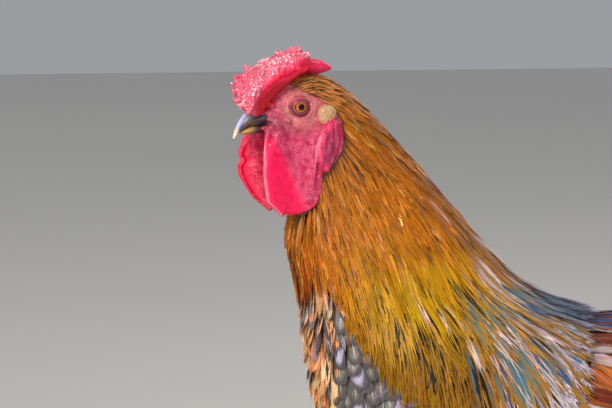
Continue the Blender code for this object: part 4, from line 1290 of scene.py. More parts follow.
def body_flesh():
    body = copy_nodes("body_flesh", ("neck", "trunk", "wing_left", "wing_right", *THIGH_NODES, "tail_coverts"), 0.8)
    remesh(body, setting("body_grain"), 4)
    mesh = body.data
    p = positions(mesh)
    z = local(p)[:, 2]
    depth = (2.0 + (setting("skin_depth") - 2.0) * smooth(z, 560, 500)) * smooth(z, 152, 215)
    put_positions(mesh, p - normals(mesh) * depth[:, None] * MM)
    apply_modifier(body, "SMOOTH", iterations=3, factor=0.5)
    at, normal = neck_plane()
    cut_away(body, at, -normal)
    cut_level(body, LEG_CUT_Z, -1)
    cut_away(body, Vector(world((TAIL_CUT_X, 0, 0))), Vector((1, 0, 0)))
    limit = world((TAIL_CUT_X - 6, 0, 0))[0]
    with edited(mesh) as shape:
        edges = [e for e in shape.edges if e.is_boundary and all(v.co.x > limit for v in e.verts)]
        bmesh.ops.holes_fill(shape, edges=edges)
    x, _, z = local(positions(mesh)).T
    # Painted shade: the skin under the coat is dark, as in the gaps between feathers, tinted like the plumage above
    # it: brown under the cape, greyer under the breast, near black under the tail.
    tone = painted(blend((0.085, 0.032, 0.007), (0.12, 0.10, 0.09), smooth(z, 380, 300)),
                   ((0.02, 0.03, 0.03), smooth(x, 290, 330)))
    colour_attribute(mesh, "tone", tone)
    colour_attribute(mesh, "grain", np.zeros((len(x), 3)))
    return body


def leg_flesh():
    legs = copy_nodes("leg_flesh", (*THIGH_NODES, "shank_left", "shank_right", *FOOT_NODES), 0.3)
    cut_level(legs, LEG_CUT_Z + 14, 1, close=True)
    remesh(legs, setting("leg_grain"), 2)
    mesh = legs.data
    put_positions(mesh, positions(mesh) - normals(mesh) * 0.5 * MM)
    cut_level(legs, LEG_CUT_Z, 1)
    q = local(positions(mesh))
    tone = painted(blend((0.62, 0.36, 0.07), (0.72, 0.46, 0.13), 0.5 + 0.5 * cloud(q, 14, 3)),
                   ((0.30, 0.17, 0.05), smooth(q[:, 2], 4, 0.5)))
    colour_attribute(mesh, "tone", tone)
    colour_attribute(mesh, "grain", np.tile((0.2, 0.35, 0.0), (len(q), 1)))
    return legs


def bridge(piece, chosen):
    """Joins the two open rims whose edges pass a test, as one band of faces."""
    activate(piece)
    bpy.ops.object.mode_set(mode="EDIT")
    bpy.ops.mesh.select_mode(type="EDGE")
    bpy.ops.mesh.select_all(action="DESELECT")
    shape = bmesh.from_edit_mesh(piece.data)
    for edge in shape.edges:
        if edge.is_boundary and chosen(local(np.array((edge.verts[0].co + edge.verts[1].co) / 2))):
            edge.select_set(True)
    bmesh.update_edit_mesh(piece.data)
    bpy.ops.mesh.bridge_edge_loops()
    bpy.ops.object.mode_set(mode="OBJECT")


def thin_covered(skin):
    """Fewer, larger faces on the skin that the plumage hides."""
    p = local(positions(skin.data))
    q = turned(p, -HEAD_TURN)
    hidden = (feather_share(q) > 0.99) & (p[:, 2] > 175) & (q[:, 0] > 8 + np.maximum(q[:, 2] - 566, 0) * 3)
    group = skin.vertex_groups.new(name="covered")
    group.add([int(k) for k in np.flatnonzero(hidden)], 1.0, "REPLACE")
    apply_modifier(skin, "DECIMATE", ratio=1 - 0.72 * hidden.mean(), vertex_group="covered")
    skin.vertex_groups.clear()


def make_skin():
    head, body, legs = head_flesh(), body_flesh(), leg_flesh()
    lid_pieces = lids(head)
    skin = merge_objects([head, body, legs])
    bridge(skin, lambda p: p[2] > 440)
    for side, _ in SIDES:
        bridge(skin, lambda p, s=side: p[2] < 180 and p[1] * s > 0)
    thin_covered(skin)
    skin = merge_objects([skin, *lid_pieces])
    skin.data.materials.clear()
    finish_mesh(skin.data, bare_skin("skin"))
    return skin


# ================================================================ eyes, beak, claws and scutes
# The distance from the pupil's middle that the hidden half of an eye is given, and the height of the closed mouth.
BEHIND_PUPIL = 9.0
MOUTH_Z = 541.5
# Heights of the shank and how far back its middle lies there.
SHANK_MIDDLE = ((0, 18, 36, 62, 90, 115, 134), (160, 162.5, 166.5, 172, 178, 183.5, 185))
# Each column of scutes round the shank: its turn from the front in degrees, its shift up and half its length.
SHANK_COLUMNS = ((-26, 0, 3.3), (26, 2.7, 3.3), (-76, 1.4, 3.0), (76, 4, 3.0), (-126, 0, 2.9), (126, 2.7, 2.9),
                 (180, 1.4, 2.9))
SHANK_STEP = 5.4
# How far each foot stands from the middle and how far back its toes meet.
LEG_ASIDE, TOES_MEET_X = 46.0, 160.0
SCUTE_ROWS, SCUTE_COLUMNS = 5, 7
Toe = namedtuple("Toe", "heading length radius scutes")
TOES = (Toe(2, 66, 6.2, 15), Toe(33, 47, 5.8, 11), Toe(-36, 50, 5.7, 12), Toe(168, 28, 5.2, 6))


def make_eye(side, word):
    bpy.ops.mesh.primitive_uv_sphere_add(segments=64, ring_count=48, radius=EYE_RADIUS * MM)
    eye = bpy.context.object
    eye.name = f"eye_ball_{word}"
    p = positions(eye.data) / MM
    x, y, z = p.T
    radius = np.where(z < 0, BEHIND_PUPIL, np.hypot(x, y))
    colour_attribute(eye.data, "ring", np.stack([radius, np.arctan2(y, x) / (2 * math.pi), 0 * radius], 1))
    outward = np.stack([x, side * z, -side * y], 1) + (0.0, side * EYE_SIDE, EYE_LEVEL)
    put_head_points(eye.data, outward)
    finish_mesh(eye.data, eye_finish())
    return eye


def make_beak_part(node):
    upper = node == "upper_beak"
    piece = copy_nodes("beak_upper" if upper else "beak_lower", (node,))
    remesh(piece, 0.42, 4)
    mesh = piece.data
    p, n = head_points(mesh), head_normals(mesh)
    x, y, z = p.T
    if upper:
        flap = ((x + 27.0) / 4.6) ** 2 + ((z - 551.0 + (x + 27) * -0.25) / 2.0) ** 2
        slit = ((x + 27.3) / 4.4) ** 2 + ((z - 548.6 + (x + 27) * -0.25) / 0.75) ** 2
        out = (0.55 * np.exp(-flap * 1.4) - 1.5 * np.exp(-slit * 1.6)) * smooth(np.abs(y), 1.5, 3.0)
        p += n * out[:, None]
        # Painted highlight: a pale blue band where the culmen faces up and forwards. Painted shade: the nostril's slit
        # is near black.
        tone = painted((0.055, 0.052, 0.125),
                       ((0.50, 0.52, 0.80), smooth(n[:, 2] * 0.64 - n[:, 0] * 0.77, 0.62, 0.96)),
                       ((0.13, 0.075, 0.05), smooth(z, 549.5, 545.5) * smooth(x, -39, -35) * 0.9),
                       ((0.26, 0.19, 0.14), np.exp(-flap * 0.8) * 0.8), ((0.02, 0.01, 0.012), np.exp(-slit * 1.2)),
                       ((0.76, 0.60, 0.46), smooth(x, -39.5, -43.0)))
    else:
        tone = painted((0.50, 0.28, 0.085), ((0.30, 0.16, 0.05), 0.5 + 0.5 * cloud(p * (0.5, 1.0, 2.0), 2.0, 20)),
                       ((0.07, 0.02, 0.025), smooth(x, -34, -27)))
        p[:, 2] = MOUTH_Z - (MOUTH_Z - z) * 0.78
    colour_attribute(mesh, "tone", tone)
    put_head_points(mesh, p)
    finish_mesh(mesh, horn(piece.name, 0.33))
    return piece


def make_horn(name, nodes, root, tip):
    piece = copy_nodes(name, nodes)
    remesh(piece, 0.55, 3)
    mesh = piece.data
    colour_attribute(mesh, "tone", blend(root, tip, 0.5 + 0.5 * cloud(local(positions(mesh)), 6, 9)))
    finish_mesh(mesh, horn(name))
    return piece


def plate(tree, centre, along, aside, half_long, half_wide, inward, lift):
    """One scute: a bowed plate laid on the limb, its far edge standing off a little."""
    outer, inner = [], []
    for a, b in product(np.linspace(-1, 1, SCUTE_ROWS), np.linspace(-1, 1, SCUTE_COLUMNS)):
        edge = 1 - 0.16 * a * a if abs(b) > 0.9 else 1
        spot = centre + along * half_long * a * (1 - 0.12 * b * b) + aside * half_wide * b * edge - inward * 22
        hit, _ = cast(tree, spot, inward, 0.035)
        if hit is None:
            return None
        bulge = lift * (0.35 + 0.65 * (a + 1) / 2) + 0.45 * (1 - b * b) * (1 - a * a * 0.6)
        outer.append(hit - inward * bulge)
        inner.append(hit + inward * 0.6)
    quads, count = grid_quads(SCUTE_ROWS, SCUTE_COLUMNS), SCUTE_ROWS * SCUTE_COLUMNS
    rim = [*range(SCUTE_COLUMNS), *range(2 * SCUTE_COLUMNS - 1, count, SCUTE_COLUMNS),
           *range(count - 2, count - SCUTE_COLUMNS - 1, -1),
           *range(count - 2 * SCUTE_COLUMNS, 0, -SCUTE_COLUMNS)]
    skirt = [(a, b, b + count, a + count) for a, b in zip(rim, rim[1:] + rim[:1])]
    under = [tuple(count + v for v in q[::-1]) for q in quads]
    return outer + inner, quads + skirt + under


def scute_plates():
    """Every plate down the front and back of each shank and along the top of each toe."""
    for side, word in SIDES:
        shank, _ = tree_of((f"shank_{word}",))
        y = side * LEG_ASIDE
        down = unit(np.array((-0.22, 0.0, -1.0)))
        for z, (turn, shift, long) in product(np.arange(132, 8, -SHANK_STEP), SHANK_COLUMNS):
            a = math.radians(turn)
            inward = np.array((math.cos(a), -math.sin(a), 0.0))
            aside = np.array((math.sin(a), math.cos(a), 0.0))
            centre = np.array((np.interp(z, *SHANK_MIDDLE), y, z + shift))
            yield plate(shank, centre, down, aside, long, 3.1, inward, 0.25)
        toes, _ = tree_of([f"{toe}_toe_{word}" for toe in TOE_NAMES])
        for toe in TOES:
            heading = math.radians(toe.heading)
            ahead = np.array((-math.cos(heading), -side * math.sin(heading), 0.0))
            aside = np.array((-ahead[1], ahead[0], 0.0))
            step = toe.length * 0.81 / (toe.scutes - 1)
            for share in np.linspace(0.16, 0.97, toe.scutes):
                centre = np.array((TOES_MEET_X, y, 0.0)) + ahead * toe.length * share
                width = toe.radius * (0.86 - 0.22 * share)
                yield plate(toes, centre, ahead, aside, step * 0.62, width, np.array((0.0, 0.0, -1.0)), 0.35)


def make_scutes():
    points, faces, shades = [], [], []
    rng = np.random.default_rng(11)
    for made in scute_plates():
        if made is not None:
            start = len(points)
            points += made[0]
            faces += [tuple(start + v for v in f) for f in made[1]]
            shades += [rng.uniform(0, 1)] * len(made[0])
    mesh = bpy.data.meshes.new("scutes")
    mesh.from_pydata([tuple(c) for c in world(points)], [], faces)
    colour_attribute(mesh, "tone", blend((0.60, 0.33, 0.06), (0.78, 0.52, 0.15), np.array(shades)))
    finish_mesh(mesh, horn("scutes", 0.42))
    piece = new_object("scutes", mesh)
    activate(piece)
    bpy.ops.object.mode_set(mode="EDIT")
    bpy.ops.mesh.select_all(action="SELECT")
    bpy.ops.mesh.normals_make_consistent(inside=False)
    bpy.ops.object.mode_set(mode="OBJECT")
    return piece


# ================================================================ where each kind of feather grows
def over_cape(p):
    """Height above the lower edge of the neck's long feathers; far below zero behind the cape."""
    return p[..., 2] - height_on(CAPE_EDGE, p[..., 0]) - 900 * (p[..., 0] > 208)


def downwards(lay, i, j, heading):
    """The heading with the sign that turns it away from the lie of the coat towards the ground."""
    return -heading * np.sign(lay.read(lay.ahead, i, j)[:, 2] + 1e-9)


def in_wing(p, margin):
    """Whether points lie within the outline of a folded wing, shrunk by a margin."""
    x, z = p[..., 0], p[..., 2]
    inside = (z < height_on(WING_TOP, x) - margin) & (z > height_on(WING_LOW, x) + margin)
    return inside & (x > 50 + margin) & (x < 318)


def behind_wattle(p):
    """Whether points of the unturned head lie between the neck and the flared left wattle."""
    inside = p[..., 0] < np.interp(p[..., 2], *WATTLE_REAR) - 0.6
    return (p[..., 1] < -6) & inside & (p[..., 2] > 484) & (p[..., 2] < 533)


def form_of(stripe, lace, rng, count):
    return np.stack([np.broadcast_to(stripe, count), np.broadcast_to(lace, count), rng.random(count)], -1)


def looks_of(colour, spread, mark, stripe, lace, rng, count):
    """Ground colours that vary by a spread from feather to feather, their markings' colour and their form."""
    return varied(colour, rng, count, spread), np.broadcast_to(mark, (count, 3)), form_of(stripe, lace, rng, count)


def picked(chosen, colour, others):
    """One colour where chosen holds and the others elsewhere."""
    return np.where(chosen[:, None], np.array(colour), others)


def hackle_colours(root, tip, rng):
    """Rust in front, orange above, gold lower down, then dark and teal middles towards the edge of the cape."""
    count = len(root)
    x, y, z = (root * 0.4 + tip * 0.6).T
    y = np.abs(y)
    far = smooth(x, 96, 138) * smooth(z, 462, 425)
    ridge = smooth(y, 32, 10) * smooth(x, 80, 120)
    band = smooth(x, 132, 160) * smooth(z, 384, 400) * smooth(y, 44, 34)
    rear = smooth(x, 140, 180)
    colour = painted(paler(smooth(z, 520, 430), (0.40, 0.115, 0.004), tint("hackle_orange"), tint("hackle_gold")),
                     (tint("hackle_rust"), smooth(x + (z - 420) * 0.42, 68, 12)),
                     ((0.27, 0.115, 0.004), smooth(z, 444, 398)), ((0.30, 0.11, 0.012), ridge * 0.8))
    # Painted highlights: pale pink strands, most near the cape's rear edge, stand for glints on single feathers.
    pale = rng.random(count) < 0.006 + 0.34 * far + 0.08 * ridge + 0.16 * rear
    colour = picked(pale, blend((0.60, 0.40, 0.34), (0.52, 0.43, 0.50), rear),
                    blend(colour, (0.44, 0.20, 0.03), far * 0.6))
    streaky = smooth(z, 468, 415) * smooth(x, 12, 40)
    chance = np.maximum(np.maximum(0.20 + 0.70 * streaky, 0.94 * far), 0.85 * band)
    broad = 0.24 * streaky * (1 - far) + 0.14 * far + 0.4 * (rng.random(count) < 0.28) * np.maximum(far, band)
    size = np.where(rng.random(count) < chance, 0.34 + 0.30 * rng.random(count) + broad + 0.4 * band, 0.0)
    colour = blend(colour, (0.055, 0.095, 0.20), band * smooth(y, 40, 26) * 0.8)
    hue = rng.random(count) * (1 - 0.3 * band) + 0.6 * band * (rng.random(count) < 0.7)
    cold = picked(hue < 0.6, tint("hackle_teal"), (0.034, 0.078, 0.170))
    mark = picked(hue < 0.8 * np.maximum(far, band), cold, (0.016, 0.010, 0.009))
    return looks_of(colour, 0.15, mark, size, 0.0, rng, count)


def nape_colours(root, tip, rng):
    count = len(root)
    colour = blend((0.46, 0.14, 0.010), (0.56, 0.21, 0.050), smooth(root[:, 2], 545, 570))
    pick = rng.random(count)
    colour = picked(pick > 0.95, (0.58, 0.28, 0.08), picked(pick < 0.10, (0.16, 0.055, 0.015), colour))
    return looks_of(colour, 0.2, (0.04, 0.02, 0.01), 0.15, 0.0, rng, count)


def breast_colours(root, tip, rng):
    """Grey feathers with a pale shaft and a dark edge, greyer and darker towards the belly."""
    count = len(root)
    grey = paler(rng.random(count), (0.135, 0.118, 0.10), tint("breast_grey"), (0.25, 0.228, 0.21))
    belly = smooth(root[:, 2], 300, 220) * 0.9
    near_cape = smooth(over_cape(root), -34, -8) * smooth(root[:, 0], 45, 70)
    lavender = rng.random(count) < (0.06 + 0.7 * near_cape) * (1 - belly)
    grey = picked(lavender, (0.42, 0.38, 0.52), blend(grey, (0.10, 0.095, 0.10), belly))
    return looks_of(grey, 0.10, (0.095, 0.080, 0.082), 0.0, 1.0 - 0.4 * belly, rng, count)


def bib_colours(root, tip, rng):
    """Cream and orange streaks with dark and lavender ones, down the middle of the breast."""
    count = len(root)
    pick = rng.random(count)
    colour = paler(rng.random(count), (0.80, 0.29, 0.075), tint("bib_cream"), (0.92, 0.60, 0.36))
    colour = picked(pick > 0.94, (0.14, 0.09, 0.08), picked(pick < 0.14, (0.36, 0.31, 0.33), colour))
    colour = varied(blend(colour, (0.16, 0.13, 0.12), smooth(root[:, 2], 290, 225) * 0.8), rng, count, 0.2)
    mark = np.broadcast_to((0.05, 0.035, 0.03), (count, 3))
    return colour, mark, form_of((rng.random(count) < 0.40) * 0.75, 0.1, rng, count)


def back_colours(root, tip, rng):
    """Rusty red with pale streaks, blue along the ridge."""
    count = len(root)
    pick = rng.random(count)
    colour = paler(rng.random(count), (0.36, 0.065, 0.014), tint("back_rust"), (0.50, 0.16, 0.035))
    front = smooth(root[:, 0], 232, 200) * smooth(root[:, 2], 378, 390)
    blue = rng.random(count) < (0.12 + 0.7 * smooth(np.abs(root[:, 1]), 34, 12)) * front
    return looks_of(picked(pick < 0.01 + 0.42 * front, (0.60, 0.48, 0.49), colour), 0.2,
                    picked(blue, (0.03, 0.07, 0.18), (0.03, 0.015, 0.015)), np.where(blue, 0.8, 0.0), 0.1, rng, count)


def saddle_colours(root, tip, rng):
    count = len(root)
    colour = paler(rng.random(count), (0.36, 0.080, 0.008), tint("saddle_orange"), (0.52, 0.23, 0.02))
    return looks_of(colour, 0.22, (0.02, 0.015, 0.015), 0.6, 0.0, rng, count)


def fluff_colours(root, tip, rng):
    colour = blend((0.13, 0.12, 0.125), (0.045, 0.042, 0.045), smooth(root[:, 0], 190, 270))
    return looks_of(colour, 0.18, (0.03, 0.03, 0.032), 0.0, 0.45, rng, len(root))


def bow_colours(root, tip, rng):
    """Rusty red, darker in front, with a few pale streaks."""
    count = len(root)
    colour = paler(rng.random(count), (0.20, 0.028, 0.008), tint("bow_rust"), (0.34, 0.085, 0.020))
    pale = rng.random(count) < 0.015 + 0.34 * smooth(root[:, 0], 225, 205) * smooth(root[:, 0], 150, 185)
    colour = blend(picked(pale, (0.50, 0.36, 0.34), colour), (0.25, 0.22, 0.28), smooth(root[:, 0], 96, 80))
    return looks_of(colour, 0.2, (0.05, 0.03, 0.03), 0.0, 0.25, rng, count)


def one_colour(name, spread, mark, lace):
    """Feathers of one of the settings' colours with dark edges."""
    return lambda root, tip, rng: looks_of(tint(name), spread, mark, 0.0, lace, rng, len(root))


black_colours = one_colour("tail_green", 0.2, (0.004, 0.006, 0.006), 0.1)
bar_colours = one_colour("bar_blue", 0.15, (0.004, 0.006, 0.012), 0.5)
bay_colours = one_colour("flight_bay", 0.3, (0.02, 0.016, 0.016), 0.45)


# ================================================================ the coat, piece by piece
class Bed:
    """One side's share of a lay, where one kind of feather after another is rooted and laid by seeded draws."""

    def __init__(self, lay, side, seed):
        self.lay, self.side, self.seed = lay, side, seed + side
        self.rng = np.random.default_rng(self.seed)

    def root(self, gap, keep, seed=0):
        """Roots where keep(points, station, i, j) holds, a gap apart: millimetres, or a function of the row."""
        density = setting("density")

        def gaps(i):
            return (gap(i) if callable(gap) else np.full(len(i), gap)) / density

        def kept(i, j):
            p = self.lay.place(i, j)
            own = p[:, 1] < 0 if self.side == LEFT else p[:, 1] >= 0
            return keep(p, station_of(i), i, j) & own

        self.take(*self.lay.roots(gaps, self.seed + seed, kept))

    def take(self, i, j):
        self.i, self.j, self.count = i, j, len(i)
        self.p, self.station = self.lay.place(i, j), station_of(i)

    def about(self, size, low, high):
        """A size times an even draw between two factors, for each root."""
        return size * self.rng.uniform(low, high, self.count)

    def stray(self, spread):
        return self.rng.normal(0, spread, self.count)

    def lay_on(self, coat, plan, length, width, depth, lift, heading, palette, roll):
        dress(coat, self.lay, plan, self.i, self.j, length, width, depth, lift, heading, palette, self.rng, roll)
        return coat


def lay_cape(side):
    """The long narrow feathers of the neck; their tips make the lower edge of the cape."""
    lay = body_lay()
    bed, coat = Bed(lay, side, 21), Coat()
    rng = bed.rng

    def grows(_, st, i, j):
        p = turned(lay.place(i, j), -turn_at(i))
        enough = over_cape(turned(p, turn_at(i))) > 4 + 16 * rng.random(len(i))
        return enough & (st > 5.0) & (feather_share(p) > 0.5) & ~behind_wattle(p)

    bed.root(lambda i: np.interp(station_of(i), (5, 7, 9, 13), (2.7, 3.5, 3.9, 3.7)), grows)
    i, j, st, count = bed.i, bed.j, bed.station, bed.count
    x, y = bed.p[:, 0], np.abs(bed.p[:, 1])
    aside = smooth(y, 6, 40) * smooth(x, 0, 60)
    heading = downwards(lay, i, j, aside * np.interp(st, (6, 9, 12), (0.05, 0.34, 0.42)))
    longest = np.interp(st, (5, 6, 8, 10, 13), (26, 46, 84, 112, 118)) * rng.uniform(0.8, 1.1, count)
    path, _ = lay.trace(i, j, longest * MM, heading, np.arange(1, 31) / 30)
    room = np.cumprod(over_cape(local(path)) > 0, axis=1).sum(1) / 30 * longest
    length = np.maximum(room + rng.uniform(-1, 1, count) * np.interp(x, (130, 180), (4, 9)) + 1, 18)
    width = bed.about(np.interp(st, (5, 6, 8, 11), (1.8, 2.5, 3.6, 4.5)), 0.85, 1.15)
    depth = bed.about(np.interp(st, (5, 6, 8), (1.6, 3.5, setting("skin_depth") - 1)), 0.8, 1.05)
    lift = rng.uniform(0.2, 2.8, count) * np.interp(st, (5, 8), (0.3, 1.0)) * np.interp(length, (24, 60), (0.25, 1))
    heading += bed.stray(0.06)
    far = (x + 0.55 * length > 120) & (y > 9)
    fits = (room > 16) | (x < 100) & (room > 9)
    for plan, chosen in ((HACKLE, ~far & fits), (LONG_HACKLE, far & fits)):
        dress(coat, lay, plan, *(values[chosen] for values in (i, j, length, width, depth, lift, heading)),
              hackle_colours, rng, 0.2)
    return coat


def lay_nape(side):
    """Small slender feathers from the crown and cheeks down to the start of the cape."""
    lay = body_lay()
    bed = Bed(lay, side, 31)

    def grows(_, st, i, j):
        p = turned(lay.place(i, j), -turn_at(i))
        bare = bed.rng.random(len(i)) > feather_share(p)
        return (st > 2.4) & (st < 7.4) & ~bare & ~behind_wattle(p)

    bed.root(lambda i: np.interp(station_of(i), (3, 5, 7), (1.45, 1.9, 2.8)), grows)
    st = bed.station
    return bed.lay_on(Coat(), NAPE, bed.about(np.interp(st, (3, 5, 6, 7.2), (6.5, 11, 18, 30)), 0.8, 1.25),
                      bed.about(np.interp(st, (3, 5.5, 7.2), (0.6, 1.1, 1.9)), 0.8, 1.2),
                      bed.about(np.interp(st, (4, 7), (0.4, 2.4)), 0.7, 1), bed.about(1, 0.2, 1.5), bed.stray(0.12),
                      nape_colours, 0.3)


def lay_breast(side):
    """Rounded overlapping feathers over the breast, sides and belly, and a streaky bib down the middle."""
    bed, depth = Bed(body_lay(), side, 41), setting("skin_depth")

    def grows(p, st):
        free = ~in_wing(p, 6) & ((p[:, 2] < height_on(WING_LOW, p[:, 0]) + 14) | (p[:, 0] < 62))
        return (st > 8.0) & (st < 15.8) & (over_cape(p) < np.interp(p[:, 0], (20, 40), (12, 4))) & free

    def middle(p):
        return np.abs(p[:, 1]) < 38 * smooth(p[:, 2], 215, 300) + bed.rng.normal(0, 3, len(p))

    bed.root(7.6, lambda p, st, i, j: grows(p, st) & ~middle(p))
    scales = bed.lay_on(Coat(), BREAST, bed.about(27, 0.88, 1.15), bed.about(8.4, 0.85, 1.12), depth * 0.85,
                        bed.about(1, 0.2, 1.4), bed.stray(0.12), breast_colours, 0.07)
    bed.root(4.6, lambda p, st, i, j: grows(p, st) & middle(p), 2)
    bib = bed.lay_on(Coat(), STREAK, bed.about(25, 0.7, 1.2), bed.about(3.1, 0.7, 1.2), depth * 0.8,
                     bed.about(1, 0.3, 3.0), bed.stray(0.16), bib_colours, 0.25)
    return scales, bib


def lay_back(side):
    bed = Bed(body_lay(), side, 51)
    bed.root(5.6, lambda p, st, i, j: ((st > 9.6) & (st < 15.5) & (p[:, 0] > 150) & (p[:, 2] > 376)
                                       & (over_cape(p) < 12)))
    length, width = bed.about(48, 0.8, 1.15), bed.about(4.2, 0.8, 1.15)
    heading = downwards(bed.lay, bed.i, bed.j, np.interp(np.abs(bed.p[:, 1]), (6, 40), (0.05, 0.38)))
    return bed.lay_on(Coat(), STREAK, length, width, 6.0, bed.about(1, 0.2, 1.6), heading + bed.stray(0.09),
                      back_colours, 0.12)


def lay_saddle(side):
    """Long narrow feathers from the back that part over the rump and hang past the wings' tips."""
    bed = Bed(body_lay(), side, 61)
    bed.root(3.3, lambda p, st, i, j: (st > 12.9) & (st < 18.6) & (p[:, 2] > 372 + (st - 12) * 3))
    st = bed.station
    length = bed.about(np.interp(st, (12, 14, 18.6), (70, 96, 104)), 0.8, 1.12)
    outward = np.interp(st, (12, 15, 18.6), (0.25, 0.75, 1.2))
    outward = outward * np.interp(np.abs(bed.p[:, 1]), (0, 18, 60), (0.35, 1, 0.8))
    heading = downwards(bed.lay, bed.i, bed.j, outward)
    return bed.lay_on(Coat(), SADDLE, length, bed.about(3.5, 0.85, 1.15), 5.0,
                      bed.about(1, 0.5, 3.5) + smooth(st, 15, 18) * 3, heading + bed.stray(0.05),
                      saddle_colours, 0.15)


def lay_fluff(side):
    """Loose soft feathers under the tail and between the legs."""
    bed = Bed(body_lay(), side, 71)
    bed.root(9.0, lambda p, st, i, j: ((p[:, 2] < np.where(st > 15.6, 402, 372)) & (st > 14.6) & (st < 19.5)
                                       & (~in_wing(p, -4) | (p[:, 0] > 284))))
    return bed.lay_on(Coat(), DOWNY, bed.about(36, 0.85, 1.2), bed.about(9.5, 0.85, 1.15), 7.0, bed.about(1, 1.0, 4.5),
                      bed.stray(0.2), fluff_colours, 0.2)


def lay_thigh(side):
    lay = thigh_lay(side)
    bed = Bed(lay, side, 81)
    bed.root(lambda i: np.interp(i, (0, 30, lay.rows - 1), (8.2, 7.2, 3.6)), lambda p, st, i, j: i < lay.rows - 3)
    z = bed.p[:, 2]
    size = np.interp(z, (140, 200, 280), (0.42, 0.85, 1.0))
    return bed.lay_on(Coat(), DOWNY, bed.about(30 * size, 0.85, 1.15), bed.about(8.0 * size, 0.85, 1.1),
                      np.interp(z, (140, 215), (1.5, 6.5)), bed.about(1, 0.3, 2.5) * size, bed.stray(0.15),
                      fluff_colours, 0.15)


def lay_tail_coverts(side):
    bed = Bed(body_lay(), side, 91)
    bed.root(6.4, lambda p, st, i, j: (st > 18.2) & (st < 22.6) & ((p[:, 2] > 352) | (st > 19.5)))
    length = bed.about(np.interp(bed.station, (18, 21, 22.6), (62, 60, 46)), 0.85, 1.2)
    return bed.lay_on(Coat(), SCALE, length, bed.about(8.5, 0.85, 1.15), 2.5, bed.about(1, 0.5, 3.5), bed.stray(0.12),
                      black_colours, 0.12)


def lay_wing(side):
    """Bow, then two rows of dark bar feathers, all lying back along the folded wing."""
    bed, bar = Bed(wing_lay(side), side, 101), Coat()
    rng = bed.rng
    bed.root(5.8, lambda p, st, i, j: (j < 16.5 - i * 0.05) & (i < 40))
    open_air = (over_cape(bed.p) < 6) & (over_cape(bed.p + (22, 0, -3)) < 3)
    bed.take(bed.i[open_air], bed.j[open_air])
    size = np.interp(bed.i, (0, 8, 40), (0.6, 0.9, 1.15))
    bow = bed.lay_on(Coat(), BOW, bed.about(28 * size, 0.85, 1.15), bed.about(5.2 * size, 0.85, 1.12), 4.0,
                     bed.about(1, 0.6, 2.2), np.interp(bed.j, (0, 16), (0.12, 0.30)) + bed.stray(0.1),
                     bow_colours, 0.1)
    for row, (level, reach) in enumerate(((14.5, 44), (17.5, 50))):
        i = np.linspace(3 + row * 2, 33, 17) + rng.uniform(-0.3, 0.3, 17)
        bed.take(i, level - 0.03 * i + rng.uniform(-0.2, 0.2, 17))
        bed.lay_on(bar, SCALE, bed.about(reach, 0.95, 1.05), 10.0, 2.0 + row, 1.2 - row * 0.6, 0.55 - row * 0.1,
                   bar_colours, 0.05)
    return bow, bar


def lay_flights(side):
    """The dark primaries, and the secondaries stacked over them under the bar."""
    bed, coat = Bed(wing_lay(side), side, 111), Coat()
    n = np.arange(9)
    bed.take(30.0 - n * 1.2, 21.5 - n * 0.2)
    bed.lay_on(coat, QUILL, 128 - n * 2.0, 10.0, 4.5 - n * 0.1, 0.1 + 0.05 * n, -0.08, black_colours, 0.02)
    n = np.arange(19)
    bed.take(14.0 + n * 1.65, 19.6 - n * 0.66)
    return bed.lay_on(coat, QUILL, np.interp(n, (0, 12, 18), (112, 88, 66)), 9.4, np.maximum(2.6 - n * 0.06, 1.6),
                      0.9 + 0.1 * n, 0.13, bay_colours, 0.02)


def quill_path(plan, points, facing, width, coat, rng, cell):
    """One great feather of the tail along a given path, with its own room on the unwrap."""
    stations = row_shares(plan)
    share = np.linspace(0, 1, len(points))
    line, front = (np.stack([np.interp(stations, share, column) for column in rows.T], -1)[None]
                   for rows in (world(points), facing))
    paths = lift_paths(line, unit(front), stations, np.zeros(1), np.zeros(1))
    looks = (*black_colours(local(line[:, 0]), local(line[:, -1]), rng), np.zeros((1, 2)))
    lay_feathers(coat, plan, paths, stations, np.array([width]), looks, rng, 0.0)
    vane = coat.data["vane"][-1]
    coat.data["bake"][-1] = np.stack([(cell + 0.05 + 0.9 * vane[:, 0]) / 12, 0.02 + 0.96 * vane[:, 1]], -1)


def lay_tail(side):
    """Seven stiff tail feathers and four long curved ones on each side."""
    fan, sickles, rng = Coat(), Coat(), np.random.default_rng(121 + side)
    low, high = (math.radians(a) for a in FAN_ANGLES)
    ridge = np.array((math.cos(high), 0, math.sin(high)))
    lean = np.array(Matrix.Rotation(side * FAN_LEAN, 3, Vector(ridge)))
    out = np.tile(lean @ (0, side, 0), (20, 1))
    t = np.linspace(0.16, 1.0, 20)
    each = (high - low) / FAN_FEATHERS
    for n in range(FAN_FEATHERS):
        angle = low + each * (n + 0.5)
        length = FAN_LENGTH * (0.86 + 0.14 * (n + 0.5) / FAN_FEATHERS)
        aside = np.full(20, side * (1.7 + (n % 2) * 0.9))
        flat = np.stack([np.cos(angle) * length * t, aside, np.sin(angle) * length * t], 1)
        quill_path(TAIL_QUILL, flat @ lean.T + (FAN_ROOT[0], side * 0.6, FAN_ROOT[1]), out, 12.5, fan, rng, n)
    t = np.linspace(0.0, 1, 26)
    for number, sickle in enumerate(SICKLES):
        x, z = bezier(sickle.path, t).T
        spread = sickle.root + (sickle.side - sickle.root) * np.sin(np.minimum(t / 0.4, 1) * math.pi / 2) - 5.0 * t
        ahead, up = unit(np.gradient(np.stack([x, z], 1), axis=0)).T
        tilt = math.radians(sickle.lean)
        aside = np.stack([-up * math.cos(tilt), np.full(26, -side * math.sin(tilt)), ahead * math.cos(tilt)], 1)
        facing = unit(np.cross(np.stack([ahead, 0 * t, up], 1), aside)) * -side
        facing *= np.sign(facing[10, 1] * side)
        quill_path(SICKLE_QUILL, np.stack([x, side * spread, z], 1), facing, sickle.width, sickles, rng, number)
    return fan, sickles


